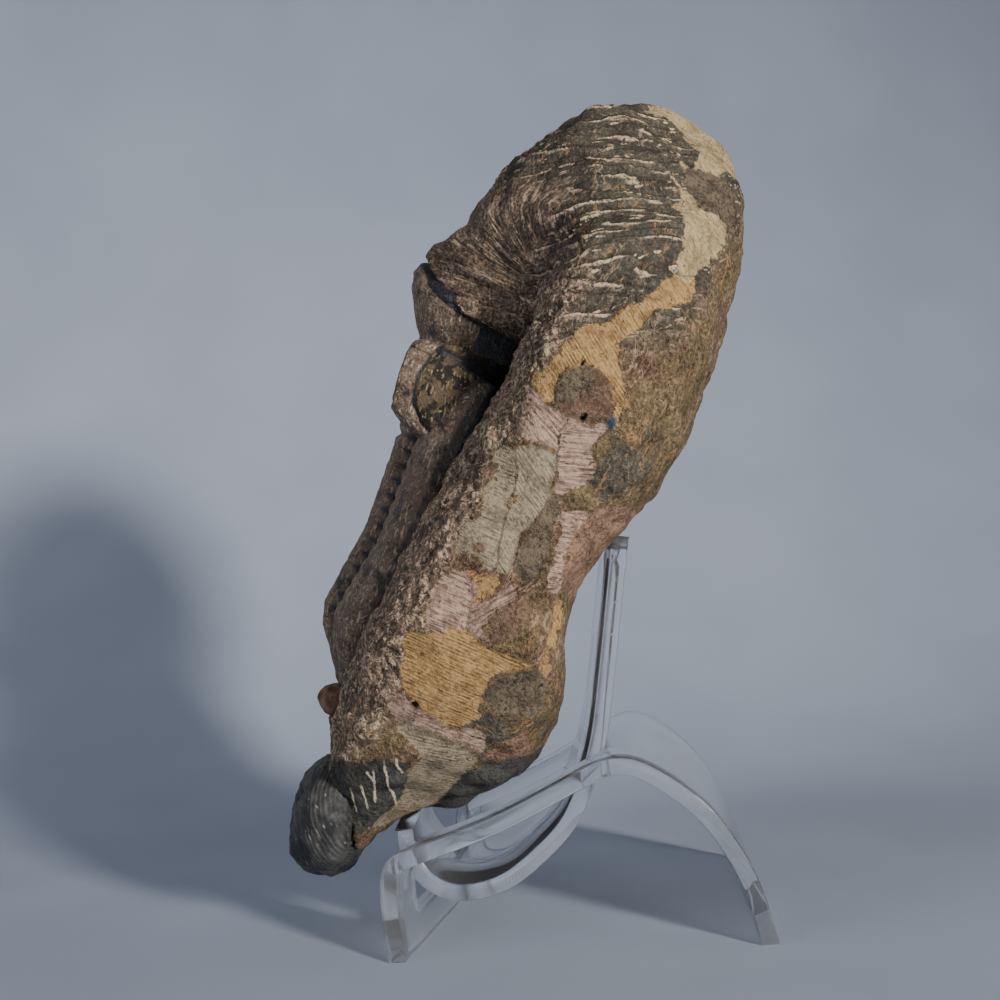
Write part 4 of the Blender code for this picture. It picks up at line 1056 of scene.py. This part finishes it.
def shell_surface(longitude, latitude):
    """Radii * sign(unit) * |unit|^0.85, turned by the tilt; unit is the point of a sphere. Gives the place in
    the block's side view, and in the room."""
    unit = np.stack((np.cos(longitude) * np.cos(latitude), np.sin(longitude) * np.cos(latitude),
                     np.sin(latitude) + 0.0 * longitude), axis=-1)
    blunt = np.sign(unit) * np.abs(unit) ** 0.85 * np.array(SHELL_RADII)
    along = SHELL_CENTRE[0] + blunt[..., 0] * math.cos(SHELL_TILT) - blunt[..., 1] * math.sin(SHELL_TILT)
    front = SHELL_CENTRE[1] + blunt[..., 0] * math.sin(SHELL_TILT) + blunt[..., 1] * math.cos(SHELL_TILT)
    return np.stack((along, front), axis=-1), stand_up(along, front, SHELL_CENTRE[2] + blunt[..., 2])


plane, surface = shell_surface(longitude, latitude[1:-1])
tip_plane, tip_surface = shell_surface(np.zeros(2), latitude[[0, -1], 0])
shell_plane = np.concatenate((plane.reshape(-1, 2), tip_plane))
surface = np.concatenate((surface.reshape(-1, 3), tip_surface))
waver = 0.5 * lumps(surface, 6.0, 81) + 0.2 * lumps(surface, 2.5, 83)
from_hub = np.hypot(*(shell_plane - np.array(SHELL_HUB)).T) + 1.4 * waver
lines = np.abs(np.sin(math.pi * from_hub / SHELL_LINE_GAP))
index = np.arange(len(surface) - 2).reshape(-1, SHELL_COLUMNS)

DARK_SHELL, tree, shader = new_finish("dark_shell", Roughness=0.55, Specular_IOR_Level=0.45)
where = place_mm(tree)
grain = use(tree, GRAIN, {"Place": where, "Size": 0.4})
colour = mix(tree, soft(tree, noise(tree, where, 3.0, 4.0), 0.35, 0.7), paint(27, 29, 31), paint(62, 62, 60))
colour = mix(tree, calc(tree, "MULTIPLY", told(tree, "line"), 0.4), colour, paint(104, 102, 94))
scuffs = use(tree, STROKES, {"Place": turned(tree, where, (0, -60, 0)), "Length": 2.2, "Width": 0.4,
                             "Wander": 3.0, "Share": 0.25})["Mask"]
colour = mix(tree, calc(tree, "MULTIPLY", scuffs, 0.55), colour, paint(150, 146, 132))
colour = mix(tree, calc(tree, "MULTIPLY", grain["Fleck"], 0.6), colour, paint(22, 22, 24))
tree.links.new(colour, shader.inputs["Base Color"])
tree.links.new(soft(tree, grain["Grain"], 0.2, 0.8, 0.45, 0.75), shader.inputs["Roughness"])
bump = add(tree, "Bump", {"Strength": 0.5, "Distance": 0.0004, "Height": grain["Grain"]})
tree.links.new(bump, shader.inputs["Normal"])

shell_faces = [grid_faces(index, wrap=True), fan(index[0][::-1], len(surface) - 2), fan(index[-1], len(surface) - 1)]
shell = make_piece("shell_fragment_grown", surface, shell_faces, DARK_SHELL)
raise_surface(shell, 0.1 * (1.0 - lines ** 0.7) + 2.2 * broken(surface, 7.0, 87, 4))
tell(shell, "line", (1.0 - lines) ** 1.5 * smooth_step(-0.6, 0.4, lumps(surface, 2.0, 89)))
fit(shell, "shell_fragment")

# %% [markdown]
# ## The nub beside the tail
# A small reddish nub of stone stands out of the near corner of the front, below the tail. It is a rounded lump
# that is sunk in the block.

# %% Make the nub
NUB_CENTRE, NUB_RADII = (30.0, 14.6, -20.0), (2.9, 3.2, 5.0)
NUB_STONE, tree, shader = new_finish("nub_stone", Roughness=0.85, Specular_IOR_Level=0.3)
where = place_mm(tree)
grain = use(tree, GRAIN, {"Place": where, "Size": 0.35})
colour = mix(tree, soft(tree, noise(tree, where, 2.0, 4.0), 0.35, 0.65), paint(84, 62, 50), paint(134, 106, 86))
colour = mix(tree, calc(tree, "MULTIPLY", grain["Fleck"], 0.5), colour, paint(50, 38, 34))
tree.links.new(colour, shader.inputs["Base Color"])
tree.links.new(soft(tree, grain["Grain"], 0.2, 0.8, 0.75, 0.95), shader.inputs["Roughness"])
bump = add(tree, "Bump", {"Strength": 0.6, "Distance": 0.0004, "Height": grain["Grain"]})
tree.links.new(bump, shader.inputs["Normal"])

latitude = np.linspace(-math.pi / 2, math.pi / 2, 40)[1:-1, None]
longitude = np.linspace(0.0, 2.0 * math.pi, 64, endpoint=False)[None, :]
rings = [np.cos(longitude) * np.cos(latitude), np.sin(longitude) * np.cos(latitude), np.sin(latitude) + 0 * longitude]
ends = [np.zeros(2), np.zeros(2), np.array([-1.0, 1.0])]
ball = [centre + radius * np.append(ring, tip)
        for centre, radius, ring, tip in zip(NUB_CENTRE, NUB_RADII, rings, ends)]
surface = stand_up(*ball)
index = np.arange(len(surface) - 2).reshape(-1, 64)
nub = make_piece("nub_of_stone", surface, [grid_faces(index, wrap=True), fan(index[0][::-1], len(surface) - 2),
                                           fan(index[-1], len(surface) - 1)], NUB_STONE)
raise_surface(nub, 0.7 * broken(surface, 3.0, 91, 3))
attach(nub, "root")

# %% [markdown]
# ## Clear acrylic
# Cast acrylic is clear glass-like plastic with a refractive index of 1.49. It takes a faint grey-blue tint from
# its own depth, so the tint is absorption inside the sheet. A few hundredths of its face scatter light like
# white paint, which keeps the cut edges pale. Handling leaves a haze of fine scratches, which shows as a
# slightly uneven roughness.

# %% Acrylic
ACRYLIC, tree, shader = new_finish("clear_acrylic", IOR=1.49, Transmission_Weight=0.96,
                                   Base_Color=(0.93, 0.95, 0.97, 1.0))
where = place_mm(tree)
haze = noise(tree, where, 14.0, 4.0, 0.6)
scratches = use(tree, STROKES, {"Place": turned(tree, where, (20, 35, 0)), "Length": 9.0, "Width": 0.25,
                                "Wander": 4.0, "Share": 0.35})["Mask"]
rough = calc(tree, "MULTIPLY_ADD", scratches, 0.12, soft(tree, haze, 0.4, 0.75, 0.05, 0.12))
tree.links.new(rough, shader.inputs["Roughness"])
bump = add(tree, "Bump", {"Strength": 0.15, "Distance": 0.00005, "Height": scratches})
tree.links.new(bump, shader.inputs["Normal"])
inside = tree.nodes.new("ShaderNodeVolumeAbsorption")
inside.inputs["Color"].default_value = (0.86, 0.9, 0.94, 1.0)
inside.inputs["Density"].default_value = 6.0
tree.links.new(inside.outputs[0], tree.nodes["Material Output"].inputs["Volume"])


def polish(piece, width):
    """Rounds the cut edges of a sheet."""
    edge = piece.modifiers.new("polished_edges", "BEVEL")
    edge.width = width * MM
    edge.segments = 2
    edge.limit_method = "ANGLE"
    edge.angle_limit = math.radians(40.0)
    edge.harden_normals = False


# %% [markdown]
# The strip that holds the block was bent from one flat length: its side outline, carried across its width.

# %% Make the cradle
SHEET = 3.0
MOVED = (0.28, 0.06)
CRADLE_LINE = ((-25.0, 20.2), (-24.3, 15.4), (-21.4, 11.0), (-17.2, 8.7), (-12.0, 8.6), (-6.6, 10.4), (-0.8, 14.6),
               (4.2, 19.6), (7.6, 26.0), (10.4, 34.0), (12.4, 44.6), (16.4, 70.4))
middle = smooth_line(CRADLE_LINE, 10)
skins = np.stack((offset_line(middle, SHEET / 2), offset_line(middle, -SHEET / 2)))
section = np.stack((skins[0], skins[0], skins[1], skins[1]), axis=1)
side = np.broadcast_to(np.array((-1.0, 1.0, 1.0, -1.0)) * CRADLE_HALF_WIDTH, section.shape[:2])
points = np.stack((section[..., 0] + MOVED[0], side + MOVED[1], section[..., 1]), axis=-1)
index = np.arange(points.shape[0] * 4).reshape(-1, 4)
ends = np.stack((index[0], index[-1][::-1]))
cradle = make_piece("cradle_strip", points, [grid_faces(index, wrap=True), ends], ACRYLIC)
polish(cradle, 0.25)
fit(cradle, "stand_cradle")

# %% [markdown]
# The base is an arched sheet whose far edge is shifted, so it is a ruled surface between two edges. A window is
# cut in it, where the strip stands. The grid's rows are packed so that two of them lie on the window's sill and
# back edge, and the cells between them are left out.

# %% Make the arch
ARCH_LINE = (
    (-27.2, -6.0), (-27.7, 0.0), (-28.5, 8.0), (-28.4, 14.0), (-27.0, 17.4), (-23.4, 19.0), (-16.0, 21.3),
    (-7.0, 24.6), (2.0, 28.8), (8.0, 31.7), (13.0, 32.9), (18.0, 31.6), (24.9, 26.9), (30.5, 20.9), (35.7, 11.3),
    (38.8, 0.0), (40.2, -6.0))
ARCH_TWIST, ARCH_HALF_WIDTH = (12.0, 3.4), 32.0
WINDOW_HALF_WIDTH, WINDOW_SILL = 20.6, 5.4
WINDOW_BACK = float(np.interp(33.0, *reversed(np.array(CRADLE_LINE)[-4:].T))) + SHEET / 2 + 0.3
ZONES = (6, 40, 34)
arch_columns = np.array((-32.0, -28.2, -24.4, -WINDOW_HALF_WIDTH, -13.7, -6.9, 0.0, 6.9, 13.7, WINDOW_HALF_WIDTH,
                         24.4, 28.2, 32.0))


def arch_skin(line, columns):
    """x(s, y) = line_x(s) + twist(s) * (y + half) / width. In each zone, s runs evenly from the floor to the
    sill, on to the window's back edge, and down to the floor again."""
    length = walked(line)
    reach = (line[:, 0] - line[0, 0]) / (line[-1, 0] - line[0, 0])
    twist = ARCH_TWIST[0] + (ARCH_TWIST[1] - ARCH_TWIST[0]) * reach
    highest = int(line[:, 1].argmax())
    rise, fall = slice(0, highest + 1), slice(highest, None)
    first = np.interp(0.0, line[rise, 1], length[rise])
    sill = np.interp(WINDOW_SILL, line[rise, 1], length[rise])
    last = np.interp(0.0, line[fall, 1][::-1], length[fall][::-1])
    clamped = np.clip(columns, -WINDOW_HALF_WIDTH, WINDOW_HALF_WIDTH)
    share = (clamped + ARCH_HALF_WIDTH) / (2 * ARCH_HALF_WIDTH)
    back = np.array([np.interp(WINDOW_BACK, (line[:, 0] + twist * s)[8:], length[8:]) for s in share])
    marks = np.stack((np.full(back.shape, first), np.full(back.shape, sill), back, np.full(back.shape, last)))
    at = np.concatenate([marks[i] + (marks[i + 1] - marks[i]) * (np.arange(n) / n)[:, None]
                         for i, n in enumerate(ZONES)] + [marks[3:]])
    x = np.interp(at, length, line[:, 0])
    x = x + np.interp(at, length, twist) * ((columns + ARCH_HALF_WIDTH) / (2 * ARCH_HALF_WIDTH))[None, :]
    y = np.broadcast_to(columns, at.shape)
    return np.stack((x + MOVED[0], y + MOVED[1], np.interp(at, length, line[:, 1])), axis=-1)


outer_line = smooth_line(ARCH_LINE, 10)
outer = arch_skin(outer_line, arch_columns)
inner = arch_skin(offset_line(outer_line, SHEET), arch_columns)
rows, columns = outer.shape[:2]
index = np.arange(rows * columns).reshape(rows, columns)
cells = grid_faces(index)
in_window = np.zeros((rows - 1, columns - 1), dtype=bool)
in_window[ZONES[0]:ZONES[0] + ZONES[1], 3:9] = True
cells = cells[~in_window.ravel()]
sides = np.concatenate([np.stack((cells[:, i], cells[:, (i + 1) % 4]), axis=1) for i in range(4)])
key, back_key = sides[:, 0] * rows * columns + sides[:, 1], sides[:, 1] * rows * columns + sides[:, 0]
open_sides = sides[~np.isin(key, back_key)]
edge = np.stack((open_sides[:, 1], open_sides[:, 0], open_sides[:, 0] + rows * columns,
                 open_sides[:, 1] + rows * columns), axis=1)
points = np.concatenate((outer.reshape(-1, 3), inner.reshape(-1, 3)))
used = np.unique(cells)
used = np.concatenate((used, used + rows * columns))
renumber = np.zeros(len(points), dtype=int)
renumber[used] = np.arange(len(used))
arch = make_piece("arch_sheet", points[used], [renumber[cells], renumber[cells[:, ::-1] + rows * columns],
                                               renumber[edge]], ACRYLIC)
polish(arch, 0.25)
fit(arch, "stand_base")

# %% [markdown]
# ## The studio
# The floor is one pale sweep of paper that curves up into the background. A small warm lamp stands low at the
# right in front and throws a soft shadow to the left. A broad cool lamp from the left opens the shaded side.

# %% Sweep
SWEEP, tree, shader = new_finish("paper_sweep", Roughness=0.95, Specular_IOR_Level=0.1)
where = place_mm(tree)
shade = soft(tree, noise(tree, where, 60.0, 2.0), 0.3, 0.7)
paper = mix(tree, shade, paint(160, 169, 185), paint(166, 175, 191))
tree.links.new(paper, shader.inputs["Base Color"])
turn = np.linspace(0.0, math.pi / 2, 33)
profile = np.concatenate((((-900.0, 0.0), (0.0, 0.0)),
                          np.stack((90.0 + 240.0 * np.sin(turn), 240.0 - 240.0 * np.cos(turn)), axis=1),
                          ((330.0, 1200.0),)))
points = np.stack([np.stack((np.full(len(profile), x), profile[:, 0], profile[:, 1]), axis=1)
                   for x in (-1500.0, 1500.0)], axis=1)
mesh = bpy.data.meshes.new("paper_sweep")
mesh.from_pydata((points.reshape(-1, 3) * MM).tolist(), [],
                 grid_faces(np.arange(len(profile) * 2).reshape(-1, 2))[:, ::-1].tolist())
mesh.polygons.foreach_set("use_smooth", np.ones(len(mesh.polygons), dtype=bool))
mesh.materials.append(SWEEP)
sweep = bpy.data.objects.new("paper_sweep", mesh)
bpy.context.scene.collection.objects.link(sweep)

# %% Lamps


def lamp(name, at, size, power, colour, spread):
    """A square area lamp in metres that faces the middle of the object. Its light fades away from the middle of
    a cone that is spread degrees wide."""
    light = bpy.data.lights.new(name, "AREA")
    light.spread = math.radians(spread)
    light.size, light.energy, light.color = size, power, colour
    made = bpy.data.objects.new(name, light)
    made.location = at
    aim = np.array((0.0, 0.0, 0.07)) - np.array(at)
    flat_turn = math.atan2(aim[1], aim[0])
    tilt = math.atan2(aim[2], math.hypot(aim[0], aim[1]))
    made.rotation_euler = (math.pi / 2 + tilt, 0.0, flat_turn - math.pi / 2)
    bpy.context.scene.collection.objects.link(made)
    return made


lamp("key_lamp", (0.715, -0.95, 0.295), 0.15, 1.5, (1.0, 0.95, 0.9), 46.0)
lamp("fill_lamp", (-1.1, -0.7, 0.6), 1.2, 6.4, (0.94, 0.96, 1.0), 180.0)
world = bpy.data.worlds.new("studio_air")
world.use_nodes = True
world.node_tree.nodes["Background"].inputs["Color"].default_value = (0.7, 0.72, 0.78, 1.0)
world.node_tree.nodes["Background"].inputs["Strength"].default_value = 0.24
bpy.context.scene.world = world

# %% [markdown]
# The camera stands low in front of the near side, a little below the middle of the block, and looks slightly up.

# %% Camera
lens = bpy.data.cameras.new("camera")
lens.lens, lens.sensor_width = 50.4, 36.0
camera = bpy.data.objects.new("camera", lens)
camera.location = (0.00027648, -0.27144391, 0.0698)
camera.rotation_euler = [math.radians(angle) for angle in (91.868, 2.998, 1.203)]
bpy.context.scene.collection.objects.link(camera)
bpy.context.scene.camera = camera
